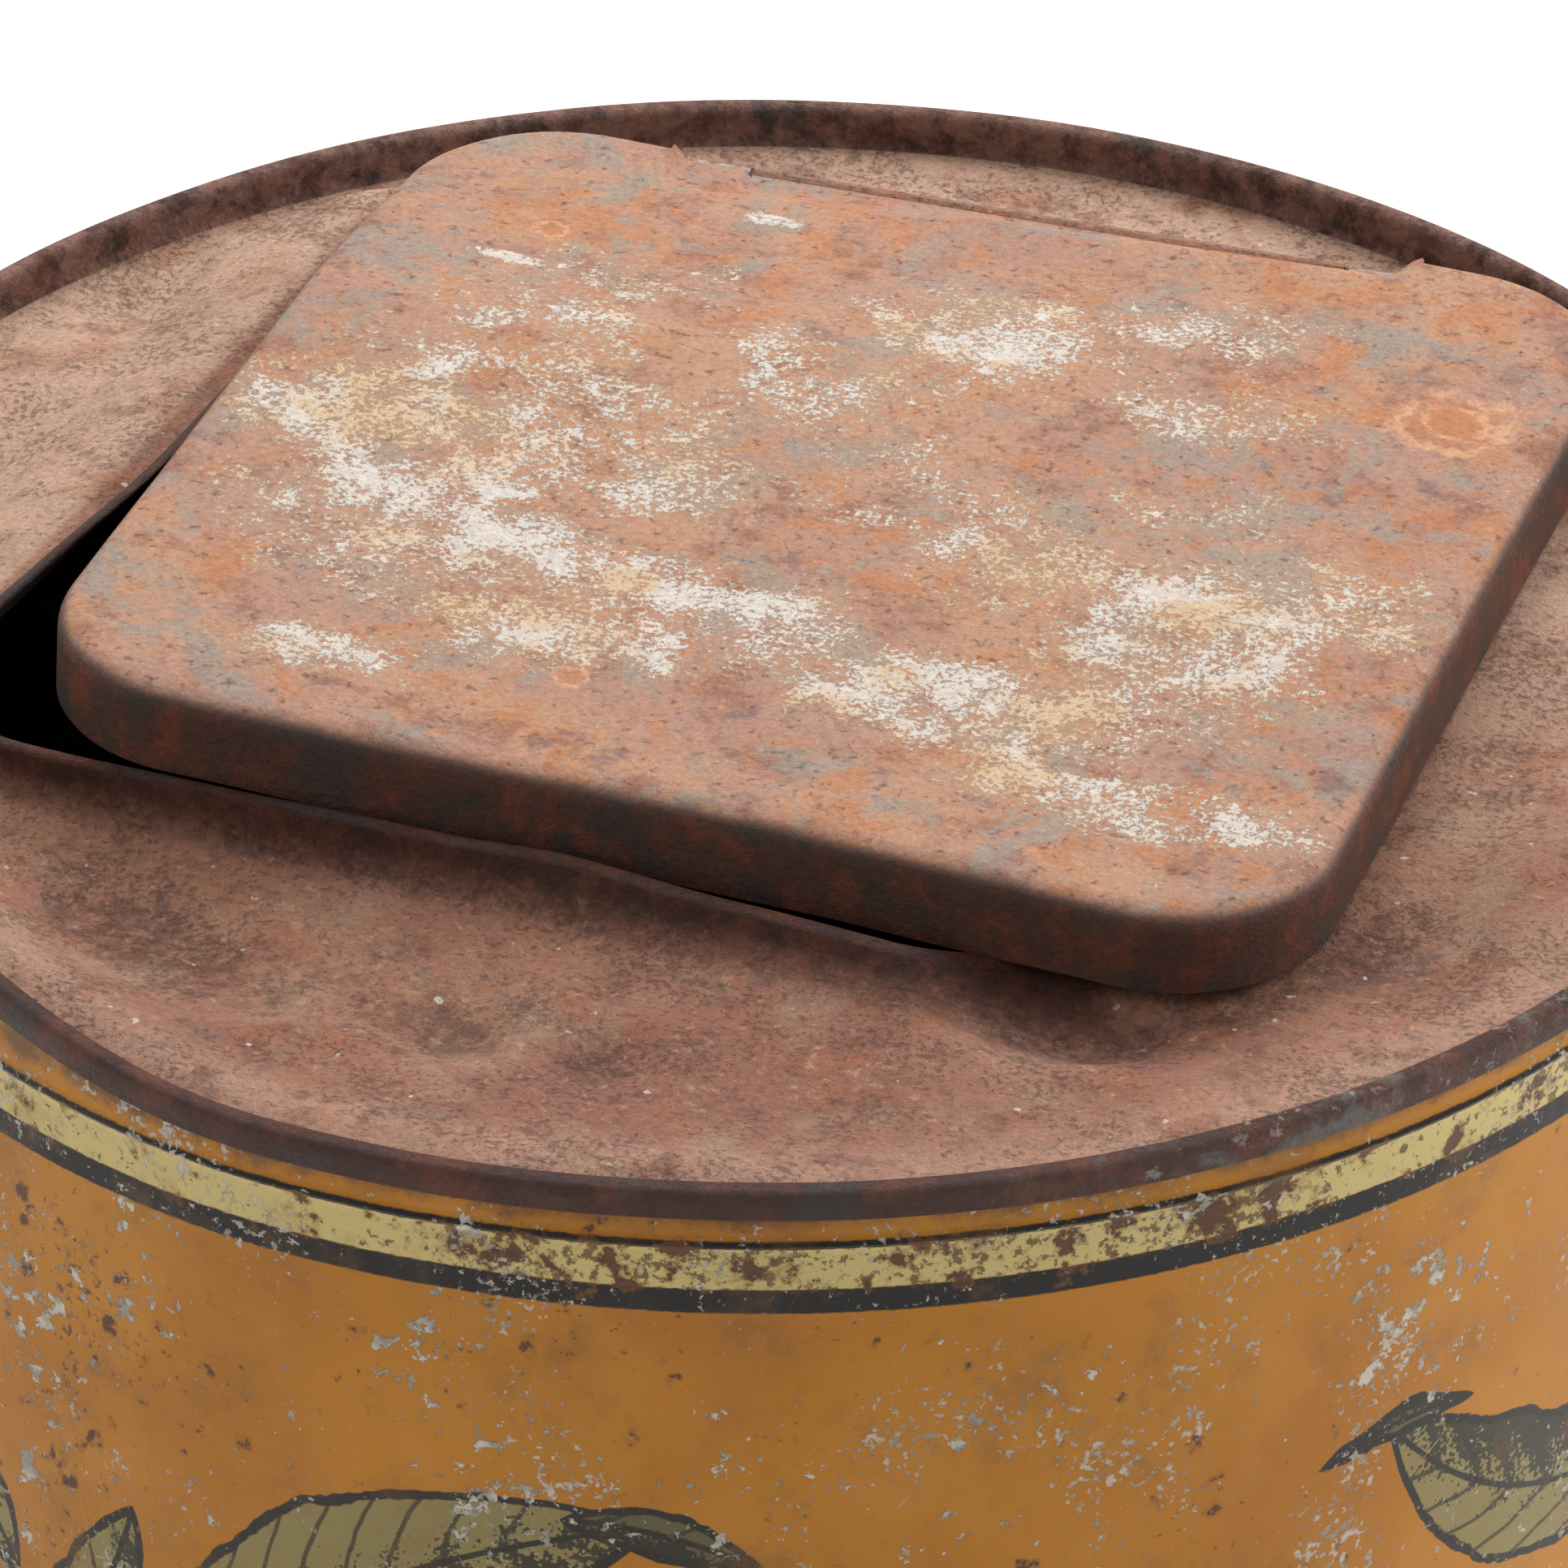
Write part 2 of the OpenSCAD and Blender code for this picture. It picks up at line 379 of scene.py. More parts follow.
class Surface:
    """A material being mixed: its node tree, and the patterns that its coats are laid on by."""

    def __init__(self, name: str) -> None:
        """Start a material with an empty tree that knows where each point lies.

        Args:
            name: The material's name.
        """
        self.material = bpy.data.materials.new(name)
        self.material.use_nodes = True
        self.tree = self.material.node_tree
        self.tree.nodes.clear()
        self.place = self.add("ShaderNodeTexCoord", out="Object")

    def add(
        self, kind: str, inputs: dict | Sequence = (), out: int | str = 0, **settings: object
    ) -> Socket | None:
        """Add one node with its settings and links.

        Args:
            kind: The node's type.
            inputs: Values or sockets for its inputs, by name, or in their order.
            out: Which output to give back.
            **settings: The node's properties.

        Returns:
            The chosen output socket, or nothing from a node that has none.
        """
        made = self.tree.nodes.new(kind)
        for key, value in settings.items():
            setattr(made, key, value)
        pairs = inputs.items() if isinstance(inputs, dict) else enumerate(inputs)
        for key, value in pairs:
            if isinstance(value, Socket):
                self.tree.links.new(value, made.inputs[key])
            elif value is not None:
                made.inputs[key].default_value = value
        return made.outputs[out] if made.outputs else None

    def sum(self, operation: str, *terms: float | Socket) -> Socket:
        """Work terms together, two at a time, by one arithmetic operation.

        Args:
            operation: The operation's name.
            *terms: The terms, in order.

        Returns:
            The result.
        """
        total = terms[0]
        for term in terms[1:]:
            total = self.add("ShaderNodeMath", (total, term), operation=operation)
        return total

    def step(self, value: Socket, low: float, high: float) -> Socket:
        """Turn a value into a mask with soft ends.

        Args:
            value: The value.
            low: Where the mask is 0.
            high: Where it is 1, which may be the smaller of the two.

        Returns:
            The mask.
        """
        ends = (value, low, high, 0, 1) if low < high else (value, high, low, 1, 0)
        return self.add("ShaderNodeMapRange", ends, interpolation_type="SMOOTHSTEP")

    def cloud(
        self,
        size: float,
        seed: float = 0.0,
        detail: float = 3.0,
        rough: float = 0.55,
        place: Socket | None = None,
        stretch: tuple[float, float, float] = (1, 1, 1),
        swirl: float = 0.0,
    ) -> Socket:
        """Lay a cloudy pattern of about 0.3 to 0.7 over the surface.

        Args:
            size: How large its features are, in millimetres.
            seed: Which cloud it is.
            detail: How many finer octaves it has.
            rough: How strong those are.
            place: The point it is read at, in metres, if not the object's own.
            stretch: How much longer its features are along each axis.
            swirl: How far it is pulled out of shape.

        Returns:
            The pattern's value.
        """
        scale = tuple(1 / long for long in stretch)
        moved = self.add(
            "ShaderNodeMapping",
            {"Vector": place or self.place, "Location": (seed, -seed * 0.7, seed * 0.3), "Scale": scale},
        )
        settings = {"Vector": moved, "Scale": 1 / (size * MM), "Detail": detail, "Roughness": rough}
        return self.add("ShaderNodeTexNoise", {**settings, "Distortion": swirl})

    def coat(
        self,
        under: Socket | tuple,
        over: Socket | str,
        mask: Socket,
    ) -> Socket:
        """Lay a coat of colour over another.

        Args:
            under: The colour underneath.
            over: The colour on top.
            mask: 1 where the top one covers.

        Returns:
            The mixed colour.
        """
        top = linear(over) if isinstance(over, str) else over
        base = linear(under) if isinstance(under, str) else under
        return self.add(
            "ShaderNodeMix", {0: mask, 6: base, 7: top}, out=2, data_type="RGBA", clamp_factor=True
        )

    def break_out(self, under: Socket, blotches: Sequence[Blotch]) -> Socket:
        """Let colours break out over a coat in cloudy patches, one after another.

        Args:
            under: The colour underneath.
            blotches: The colours and their patches.

        Returns:
            The blotched colour.
        """
        for blotch in blotches:
            cloud = self.cloud(blotch.size, blotch.seed, blotch.detail, blotch.rough, swirl=blotch.swirl)
            mask = self.sum("MULTIPLY", self.step(cloud, blotch.low, blotch.high), blotch.strength)
            under = self.coat(under, blotch.colour, mask)
        return under

    def patch(
        self, place: Socket, centre: tuple[float, float], reach: tuple[float, float]
    ) -> Socket:
        """Make a soft-edged oval on the plane of x and y.

        Args:
            place: The point it is read at, in metres.
            centre: Its middle, in millimetres.
            reach: Half its width and half its depth, in millimetres.

        Returns:
            1 in the middle and 0 outside.
        """
        moved = self.add(
            "ShaderNodeMapping",
            {
                "Vector": place,
                "Location": (centre[0] * MM, centre[1] * MM, 0),
                "Scale": (reach[0] * MM, reach[1] * MM, 1),
            },
            vector_type="TEXTURE",
        )
        flat = self.add("ShaderNodeVectorMath", (moved, (1, 1, 0)), operation="MULTIPLY")
        far = self.add("ShaderNodeVectorMath", (flat,), out="Value", operation="LENGTH")
        return self.step(far, 1.25, 0.35)

    def attribute(self, name: str) -> Socket:
        """Read a weight that was marked on the mesh."""
        return self.add("ShaderNodeAttribute", out="Fac", attribute_name=name)

    def finish(
        self,
        colour: Socket,
        roughness: Socket | float,
        height: Socket,
        depth: float,
        metallic: Socket | float = 0.0,
        **fixed: float,
    ) -> bpy.types.Material:
        """Close the material with its shader.

        Args:
            colour: The base colour.
            roughness: The roughness.
            height: The relief, from 0 to 1.
            depth: How deep the relief is, in millimetres.
            metallic: Where the surface is bare metal.
            **fixed: Sockets of the shader that are the same all over, by name, with _ for a space.

        Returns:
            The finished material.
        """
        relief = self.add("ShaderNodeBump", {"Strength": 1.0, "Distance": depth * MM, "Height": height})
        sockets = {"Base Color": colour, "Roughness": roughness, "Metallic": metallic, "Normal": relief}
        sockets |= {key.replace("_", " "): value for key, value in fixed.items()}
        shader = self.add("ShaderNodeBsdfPrincipled", sockets)
        self.add("ShaderNodeOutputMaterial", {"Surface": shader})
        return self.material


@dataclass(frozen=True)
class RustedPaintedLid:
    """Tinplate rusted through a coat of cream paint: brown and orange rust under speckled cream.

    The eye sees chalky islands of cream broken into flecks, over matt rust that goes from orange
    through brown to a bluish grey, with a darker, smoother skirt: its own dark rust, and painted shade over
    the fold and skirt.

    Attributes:
        centre: The lid's centre on the plane of x and y, in millimetres.
    """

    centre: tuple[float, float]

    def material(self) -> bpy.types.Material:
        """Mix the material.

        Returns:
            The material.
        """
        s = Surface("Lid_rusted_cream_paint")
        to_middle = (-self.centre[0] * MM, -self.centre[1] * MM, 0)
        here = s.add("ShaderNodeMapping", {"Vector": s.place, "Location": to_middle})
        grain = s.cloud(0.7, 1.0, 5, 0.72)
        broad = s.cloud(26, 2.0, 4, 0.6, swirl=0.6)
        rust = s.coat("#A8806F", "#B4886D", s.step(broad, 0.40, 0.62))
        rust = s.break_out(rust, LID_RUSTS)

        spread = None
        for x, y, wide, deep, strength in PAINT_PATCHES:
            part = s.sum("MULTIPLY", s.patch(here, (x, y), (wide, deep)), strength)
            spread = part if spread is None else s.sum("MAXIMUM", spread, part)
        ragged = s.cloud(8, 8.0, 6, 0.7, swirl=0.3)
        fleck = s.cloud(0.65, 9.0, 6, 0.72)
        level = s.sum("ADD", s.sum("MULTIPLY", spread, 0.19), s.sum("MULTIPLY", ragged, 0.70))
        level = s.sum("ADD", level, s.sum("MULTIPLY", fleck, 0.9))
        stain = s.step(level, 0.88, 1.0)
        paint = s.step(level, 0.985, 1.012)
        cream = s.coat("#D0C9C1", "#CDB18F", s.step(s.cloud(17, 10.0, 6, 0.68), 0.46, 0.60))
        colour = s.coat(rust, "#BC9471", s.sum("MULTIPLY", stain, 0.65))
        colour = s.coat(colour, cream, s.sum("MULTIPLY", paint, 0.92))
        # The skirt: its own dark rust, and painted shade that darkens the fold and skirt step by step as the
        # surface turns from the top to the side.
        side = s.attribute("side")
        skirt = s.coat("#55392E", "#74402D", s.step(s.cloud(6, 11.0, 7, 0.72), 0.47, 0.62))
        skirt = s.coat(skirt, "#443A34", s.step(s.cloud(10, 12.0, 6, 0.7), 0.50, 0.62))
        ragged_skirt_and_shade = s.sum("ADD", side, s.sum("MULTIPLY", s.cloud(5, 13.0, 4, 0.6), 0.5))
        colour = s.coat(colour, "#86604F", s.sum("MULTIPLY", s.step(ragged_skirt_and_shade, 0.30, 0.58), 0.8))
        colour = s.coat(colour, "#5C4A47", s.sum("MULTIPLY", s.step(ragged_skirt_and_shade, 0.50, 0.72), 0.7))
        colour = s.coat(colour, skirt, s.step(ragged_skirt_and_shade, 0.66, 1.0))
        for x, y, ring in RUST_RINGS:
            colour = self.ring(s, here, colour, (x, y), ring)
        speckle = s.add("ShaderNodeMapRange", (grain, 0.25, 0.75, 0.66, 1.18))
        colour = s.add("ShaderNodeVectorMath", (colour, speckle), operation="MULTIPLY")
        relief = s.sum("ADD", s.sum("MULTIPLY", fleck, 0.5), s.sum("MULTIPLY", grain, 0.5))
        relief = s.sum("ADD", relief, s.sum("MULTIPLY", paint, 0.12))
        rough = s.add("ShaderNodeMapRange", (side, 0.3, 0.9, 0.78, 0.55))
        return s.finish(colour, rough, relief, 0.42, Specular_IOR_Level=0.4)

    @staticmethod
    def ring(
        s: Surface,
        place: Socket,
        under: Socket,
        centre: tuple[float, float],
        radius: float,
    ) -> Socket:
        """Lay a ring of orange rust with a rough middle, as a standing drop leaves.

        Args:
            s: The surface.
            place: The point, from the lid's middle.
            under: The colour underneath.
            centre: The ring's middle, in millimetres.
            radius: Its radius, in millimetres.

        Returns:
            The stained colour.
        """
        away = s.add(
            "ShaderNodeVectorMath", (place, (-centre[0] * MM, -centre[1] * MM, 0)), operation="ADD"
        )
        flat = s.add("ShaderNodeVectorMath", (away, (1, 1, 0)), operation="MULTIPLY")
        far = s.add("ShaderNodeVectorMath", (flat,), out="Value", operation="LENGTH")
        wobble = s.sum("MULTIPLY", s.cloud(radius * 1.5, centre[0], 6, 0.7, swirl=0.8), 1.8 * radius * MM)
        far = s.sum("ADD", far, wobble)
        edge = 1.9 * radius * MM
        off = s.sum("ABSOLUTE", s.sum("SUBTRACT", far, edge), 0.0)
        inside = s.sum("MULTIPLY", s.step(far, edge * 1.1, edge * 0.75), 0.6)
        made = s.coat(under, "#B6754B", inside)
        broken = s.step(s.cloud(radius * 0.4, centre[1], 5, 0.65), 0.36, 0.56)
        ring = s.sum("MULTIPLY", s.step(off, 0.3 * radius * MM, 0.0), broken, 0.8)
        return s.coat(made, "#D6A27C", ring)


LID_RUSTS = (
    Blotch("#B5754A", 10, 4.0, 7, 0.72, 0.49, 0.63, 0.8, 0.8),
    Blotch("#8A5A48", 7, 3.0, 7, 0.72, 0.50, 0.66, 0.8),
    Blotch("#918A80", 15, 5.0, 8, 0.74, 0.50, 0.60, 0.75, 0.5),
    Blotch("#6D5859", 7, 6.0, 6, 0.7, 0.56, 0.68, 0.65),
    Blotch("#C08A5E", 2.6, 14.0, 6, 0.72, 0.56, 0.68, 0.6),
    Blotch("#6B4638", 1.3, 7.0, 5, 0.65, 0.56, 0.68, 0.8),
)
"""Orange, brown, bluish grey, lilac, pale and dark rust of the lid."""

PAINT_PATCHES = (
    (-50, -6, 17, 21, 1.12),
    (-36, -24, 22, 21, 1.12),
    (-18, -34, 24, 17, 1.12),
    (-2, -31, 19, 13, 1.02),
    (-38, 12, 17, 19, 0.92),
    (-36, 31, 18, 9, 0.72),
    (-24, -4, 21, 19, 0.97),
    (-8, 16, 21, 17, 0.75),
    (4, 32, 19, 14, 1.07),
    (20, 42, 21, 9, 0.87),
    (30, 26, 17, 11, 0.77),
    (5, -2, 18, 12, 0.7),
    (23, -10, 17, 14, 0.9),
    (40, -18, 20, 19, 1.2),
    (53, -5, 11, 11, 1.02),
    (24, -38, 24, 12, 1.12),
    (44, -48, 24, 7, 1.2),
    (-38, -52, 14, 6, 0.92),
    (35, 5, 14, 9, 0.72),
    (-48, 31, 6, 1.6, 1.9),
    (-26, 52, 5, 2.2, 1.5),
)
"""Islands of paint left on the lid: x, y, half width, half depth in millimetres, and strength."""

RUST_RINGS = ((53.0, 33.0, 5.5), (53.5, 33.0, 3.2), (-13.0, -47.0, 1.7), (-46.0, 39.0, 1.7))
"""Rings that standing water left on the lid: x, y and radius in millimetres."""


SHEET_RUSTS = (
    Blotch("#A3633F", 12, 23.0, 7, 0.72, 0.50, 0.66, 0.55),
    Blotch("#7A5143", 7, 24.0, 7, 0.72, 0.50, 0.66, 0.7),
    Blotch("#AF9078", 16, 25.0, 7, 0.74, 0.50, 0.66, 0.55),
    Blotch("#6D605A", 5, 34.0, 6, 0.72, 0.56, 0.68, 0.5),
)
"""Orange, brown, dusty and grey rust of the ends."""

SHEET_CRUSTS = (
    Blotch("#CBA086", 1.6, 35.0, 5, 0.7, 0.57, 0.68, 0.5),
    Blotch("#D8CFC2", 2.2, 28.0, 2, 0.4, 0.745, 0.765, 0.8),
)
"""Pale crust and the few chalky specks that lie on it."""


@dataclass(frozen=True)
class RustedSheet:
    """Bare tinplate that rusted in the weather: matt, pinkish brown, darker in its hollows with dirt and
    painted shade.

    The eye sees mottled rust, pale at the back and left with dust and painted sheen, with blackish
    pits in the dents, dark at the collar's wall and foot with rust and painted shade, and a seam and a
    hem where handling rubbed the rust down to dark steel, with a few spots of tin still bright.
    """

    def material(self) -> bpy.types.Material:
        """Mix the material.

        Returns:
            The material.
        """
        s = Surface("Top_rusted_tinplate")
        grain = s.cloud(0.7, 21.0, 6, 0.74)
        broad = s.cloud(30, 22.0, 4, 0.55, swirl=0.5)
        rust = s.coat("#976653", "#A5755E", s.step(broad, 0.38, 0.62))
        # Paler where the dust weight is high: partly dust, partly painted sheen at the back, on the left and
        # near the seam.
        rust = s.coat(rust, "#D3AC94", s.sum("MULTIPLY", s.attribute("dust"), 0.9))
        rust = s.break_out(rust, SHEET_RUSTS)
        # Darker in the dents: partly dirt, partly painted shade.
        speck = s.sum("MULTIPLY", s.cloud(2.4, 26.0, 6, 0.75), 1.5)
        dirt_and_shade = s.sum("ADD", s.sum("MULTIPLY", s.attribute("hollow"), 0.45), speck)
        rust = s.coat(rust, "#5A3C33", s.sum("MULTIPLY", s.step(dirt_and_shade, 0.90, 1.30), 0.7))
        sore = s.step(s.cloud(11, 37.0, 5, 0.7, swirl=0.4), 0.42, 0.62)
        pits = s.step(s.sum("ADD", s.cloud(0.7, 27.0, 5, 0.7), s.sum("MULTIPLY", sore, 0.10)), 0.58, 0.70)
        rust = s.coat(rust, "#5A3A30", s.sum("MULTIPLY", pits, 0.5))
        rust = s.break_out(rust, SHEET_CRUSTS)
        # The collar's wall and its foot painted dark: partly dark rust, partly painted shade.
        wall = s.attribute("wall")
        foot = s.coat("#45271E", "#613828", s.step(s.cloud(4, 29.0, 6, 0.72), 0.45, 0.62))
        ragged = s.sum("ADD", wall, s.sum("MULTIPLY", s.cloud(1.6, 36.0, 6, 0.72), 0.9))
        rust = s.coat(rust, foot, s.step(ragged, 0.45, 1.45))
        rim = s.attribute("rim")
        steel = s.coat("#48281F", "#673725", s.step(s.cloud(8, 30.0, 7, 0.72), 0.46, 0.60))
        dull = s.coat("#3F3733", "#6E6A64", s.step(s.attribute("bright"), 0.0, 0.13))
        rubbed = s.sum("MULTIPLY", s.step(s.cloud(15, 31.0, 6, 0.7), 0.50, 0.60), 0.85)
        steel = s.coat(steel, dull, rubbed)
        # The seam paler at the back and on the left: partly dust, partly painted sheen.
        dusty_and_lit = s.step(s.attribute("dust"), 0.5, 1.0)
        dusty_and_lit = s.sum("MULTIPLY", dusty_and_lit, s.step(s.cloud(4, 39.0, 6, 0.72), 0.36, 0.6))
        steel = s.coat(steel, "#92695A", dusty_and_lit)
        bright = s.step(s.sum("ADD", s.cloud(2.0, 32.0, 7, 0.75), s.attribute("bright")), 0.70, 0.78)
        steel = s.coat(steel, "#A8A297", s.sum("MULTIPLY", bright, 0.7))
        rim_mask = s.step(s.sum("ADD", rim, s.sum("MULTIPLY", grain, 0.3)), 0.45, 0.8)
        colour = s.coat(rust, steel, rim_mask)
        speckle = s.add("ShaderNodeMapRange", (grain, 0.25, 0.75, 0.68, 1.28))
        colour = s.add("ShaderNodeVectorMath", (colour, speckle), operation="MULTIPLY")
        rough = s.add("ShaderNodeMapRange", (rim_mask, 0, 1, 0.8, 0.48))
        relief = s.sum("ADD", grain, s.sum("MULTIPLY", s.cloud(3, 33.0, 6, 0.75), 1.1))
        relief = s.sum("SUBTRACT", relief, s.sum("MULTIPLY", pits, 0.25))
        return s.finish(colour, rough, relief, 0.55, Specular_IOR_Level=0.4)


@dataclass(frozen=True)
class Leaf:
    """One printed leaf, laid out on the unrolled wall.

    Attributes:
        base: Where its stalk starts: along the wall and up from the crest, in millimetres.
        tip: Where it ends.
        width: Its width at the widest.
        bend: How far its middle bows out.
        dark: Whether it shows its dark underside.
    """

    base: tuple[float, float]
    tip: tuple[float, float]
    width: float
    bend: float
    dark: bool = False


LEAVES = (
    Leaf((-27, -76), (24, -40), 21, 7),
    Leaf((15, -40), (35, -45), 5.5, 1.5, True),
    Leaf((-44, -76), (-29.8, -50.5), 11, -2),
    Leaf((138, -60), (98, -41), 17, 6),
    Leaf((109, -42), (89.5, -43.5), 4, -1.5, True),
    Leaf((30, -78), (72, -70), 13, 5, True),
    Leaf((88, -80), (128, -72), 14, -5),
    Leaf((150, -52), (172, -66), 12, 4),
)
"""The leaves of one garland, which repeats round the wall and mirrored near its foot."""


@dataclass(frozen=True)
class PrintedWall:
    """Varnished lithography on tinplate: ochre ground, cream and black lines, printed leaves.

    The eye sees an even, slightly glossy ochre with chips down to bright tin, brown rust spots,
    scuffs and fine scratches, and small leaves drawn in black line with a stippled olive shade.

    Attributes:
        radius: The wall's radius, in millimetres.
        crest: The height of the top seam's crest, in millimetres.
        repeats: How many times the garland comes round.
    """

    radius: float
    crest: float
    repeats: int = 3

    def material(self) -> bpy.types.Material:
        """Mix the material.

        Returns:
            The material.
        """
        s = Surface("Wall_printed_tinplate")
        split = s.add("ShaderNodeSeparateXYZ", (s.place,), out="X").node
        back = s.sum("MULTIPLY", split.outputs["Y"], -1)
        angle = s.add("ShaderNodeMath", (split.outputs["X"], back), operation="ARCTAN2")
        along = s.sum("MULTIPLY", angle, self.radius)
        height = s.sum("MULTIPLY", split.outputs["Z"], 1 / MM)
        half = self.crest / 2
        below = s.sum("SUBTRACT", s.sum("ABSOLUTE", s.sum("SUBTRACT", height, half), 0.0), half)
        tone = s.cloud(45, 41.0, 3, 0.5)
        ground = s.coat("#B4761A", "#A86A16", s.step(tone, 0.42, 0.60))
        ground = s.break_out(ground, [Blotch("#B87C2C", 16, 42.0, 5, 0.65, 0.5, 0.66, 0.55)])
        ground = self.garland(s, ground, along, below)
        ragged = s.sum("ADD", below, s.sum("MULTIPLY", s.cloud(1.2, 43.0, 3, 0.6), 0.35))
        colour = ground
        for top, bottom, paint in PRINTED_LINES:
            under_top = s.step(ragged, top + 0.30, top + 0.05)
            over_bottom = s.step(ragged, bottom + 0.05, bottom + 0.30)
            colour = s.coat(colour, paint, s.sum("MULTIPLY", under_top, over_bottom))
        cream_zone = s.sum("MULTIPLY", s.step(below, -7.0, -8.2), s.step(below, -14.2, -12.4))
        colour, chips = self.wear(s, colour, along, below, cream_zone)
        gloss = s.add("ShaderNodeMapRange", (s.cloud(8, 44.0, 5, 0.6), 0.3, 0.7, 0.33, 0.50))
        rough = s.sum("ADD", gloss, s.sum("MULTIPLY", chips, 0.15))
        relief = s.sum("SUBTRACT", s.sum("MULTIPLY", s.cloud(1.0, 45.0, 3, 0.5), 0.15), chips)
        return s.finish(colour, rough, relief, 0.06, Specular_IOR_Level=0.28)

    def wear(
        self,
        s: Surface,
        colour: Socket,
        along: Socket,
        below: Socket,
        cream_zone: Socket,
    ) -> tuple[Socket, Socket]:
        """Lay rust spots, chips, scuffs and scratches over the print, and a dark band under the seam, partly
        rust stain and partly painted shadow.

        Args:
            s: The surface.
            colour: The print.
            along: The way round the wall, in millimetres.
            below: The height from the nearer crest, in millimetres.
            cream_zone: Where the cream line lies, which is worn the most.

        Returns:
            The worn colour, and the mask of chips.
        """
        colour = s.break_out(colour, [Blotch("#7C552B", 10, 51.0, 7, 0.74, 0.50, 0.72, 0.5)])
        # A dark band just under the seam: partly rust stain, partly painted shadow of the seam.
        under_seam_shadow = s.sum("MULTIPLY", s.step(below, -8.2, -4.0), 0.35)
        under_seam_shadow = s.sum("ADD", under_seam_shadow, s.cloud(5, 64.0, 6, 0.7))
        colour = s.coat(colour, "#5F3F20", s.sum("MULTIPLY", s.step(under_seam_shadow, 0.62, 0.95), 0.85))
        busy = s.cloud(34, 52.0, 3, 0.5)
        side = s.sum("MULTIPLY", s.step(along, -30, 75), 0.075)
        worn = s.sum("MULTIPLY", cream_zone, s.sum("ADD", side, 0.075))
        near = s.sum("ADD", s.sum("MULTIPLY", busy, 0.38), 0.035, worn)
        spots = s.sum("ADD", s.cloud(3.6, 53.0, 4, 0.6), near)
        colour = s.coat(colour, "#84582B", s.sum("MULTIPLY", s.step(spots, 0.86, 0.94), 0.6))
        colour = s.coat(colour, "#51311F", s.sum("MULTIPLY", s.step(spots, 0.92, 0.955), 0.9))
        fine = s.sum("ADD", s.cloud(1.1, 54.0, 5, 0.68), near)
        colour = s.coat(colour, "#53351F", s.sum("MULTIPLY", s.step(fine, 0.905, 0.95), 0.8))
        at_left = s.step(along, -50, -100)
        flakes = s.sum("ADD", s.cloud(2.6, 55.0, 7, 0.74), s.sum("MULTIPLY", s.cloud(25, 56.0, 3, 0.5), 0.7))
        flakes = s.sum("ADD", flakes, s.sum("MULTIPLY", worn, 0.25), s.sum("MULTIPLY", at_left, 0.035))
        chips = s.step(flakes, 0.985, 1.0)
        dust = s.sum("ADD", s.cloud(0.8, 57.0, 4, 0.65), s.sum("MULTIPLY", s.cloud(14, 58.0, 4, 0.6), 0.7))
        dust = s.sum("ADD", dust, s.sum("MULTIPLY", at_left, 0.04))
        chips = s.sum("MAXIMUM", chips, s.sum("MULTIPLY", s.step(dust, 0.975, 1.02), 0.8))
        wall = s.add("ShaderNodeCombineXYZ", (s.sum("MULTIPLY", along, MM), s.sum("MULTIPLY", below, MM), 0))
        for lean, seed in SCRATCH_DIRECTIONS:
            turned = s.add("ShaderNodeMapping", {"Vector": wall, "Rotation": (0, 0, math.radians(lean))})
            line = s.cloud(1.0, seed, 3, 0.6, turned, (6, 1, 1), 1.2)
            here = s.step(s.cloud(9, seed + 0.5, 3, 0.5), 0.55, 0.62)
            chips = s.sum("MAXIMUM", chips, s.sum("MULTIPLY", s.step(line, 0.70, 0.73), here))
        tin = s.coat("#C2BBB0", "#948C80", s.step(s.cloud(2.5, 59.0, 4, 0.6), 0.4, 0.6))
        return s.coat(colour, tin, chips), chips

    def garland(
        self,
        s: Surface,
        ground: Socket,
        along: Socket,
        below: Socket,
    ) -> Socket:
        """Print the leaves on the ground, repeated round the wall.

        Args:
            s: The surface.
            ground: The colour underneath.
            along: The way round the wall, in millimetres.
            below: The height from the nearer crest, in millimetres.

        Returns:
            The printed colour.
        """
        period = 2 * math.pi * self.radius / self.repeats
        first = -45.0
        shifted = s.sum("ADD", along, 4 * period - first)
        around = s.sum("ADD", s.sum("MODULO", shifted, period), first)
        stipple = s.cloud(0.55, 61.0, 1, 0.5)
        for leaf in LEAVES:
            ground = self.leaf(s, ground, leaf, around, below, stipple)
        return ground

    @staticmethod
    def leaf(
        s: Surface,
        under: Socket,
        leaf: Leaf,
        along: Socket,
        below: Socket,
        stipple: Socket,
    ) -> Socket:
        """Print one leaf: its halves, stipple, veins and outline.

        Args:
            s: The surface.
            under: The colour underneath.
            leaf: The leaf.
            along: The way round the wall, in millimetres.
            below: The height, in millimetres.
            stipple: A fine pattern for its shade.

        Returns:
            The printed colour.
        """
        run = Vector(leaf.tip) - Vector(leaf.base)
        length, lean = run.length, math.atan2(run.y, run.x)
        right = s.sum("SUBTRACT", along, leaf.base[0])
        up = s.sum("SUBTRACT", below, leaf.base[1])
        part = s.sum(
            "ADD",
            s.sum("MULTIPLY", right, math.cos(lean) / length),
            s.sum("MULTIPLY", up, math.sin(lean) / length),
        )
        across = s.sum(
            "ADD", s.sum("MULTIPLY", right, -math.sin(lean)), s.sum("MULTIPLY", up, math.cos(lean))
        )
        hump = s.sum("MAXIMUM", s.sum("MULTIPLY", part, s.sum("SUBTRACT", 1.0, part), 4.0), 0.0)
        across = s.sum("SUBTRACT", across, s.sum("MULTIPLY", hump, leaf.bend))
        side = s.sum("ABSOLUTE", across, 0.0)
        taper = s.sum("SUBTRACT", 1.18, s.sum("MULTIPLY", part, 0.36))
        belly = s.sum("MULTIPLY", s.sum("POWER", hump, 0.72), taper)
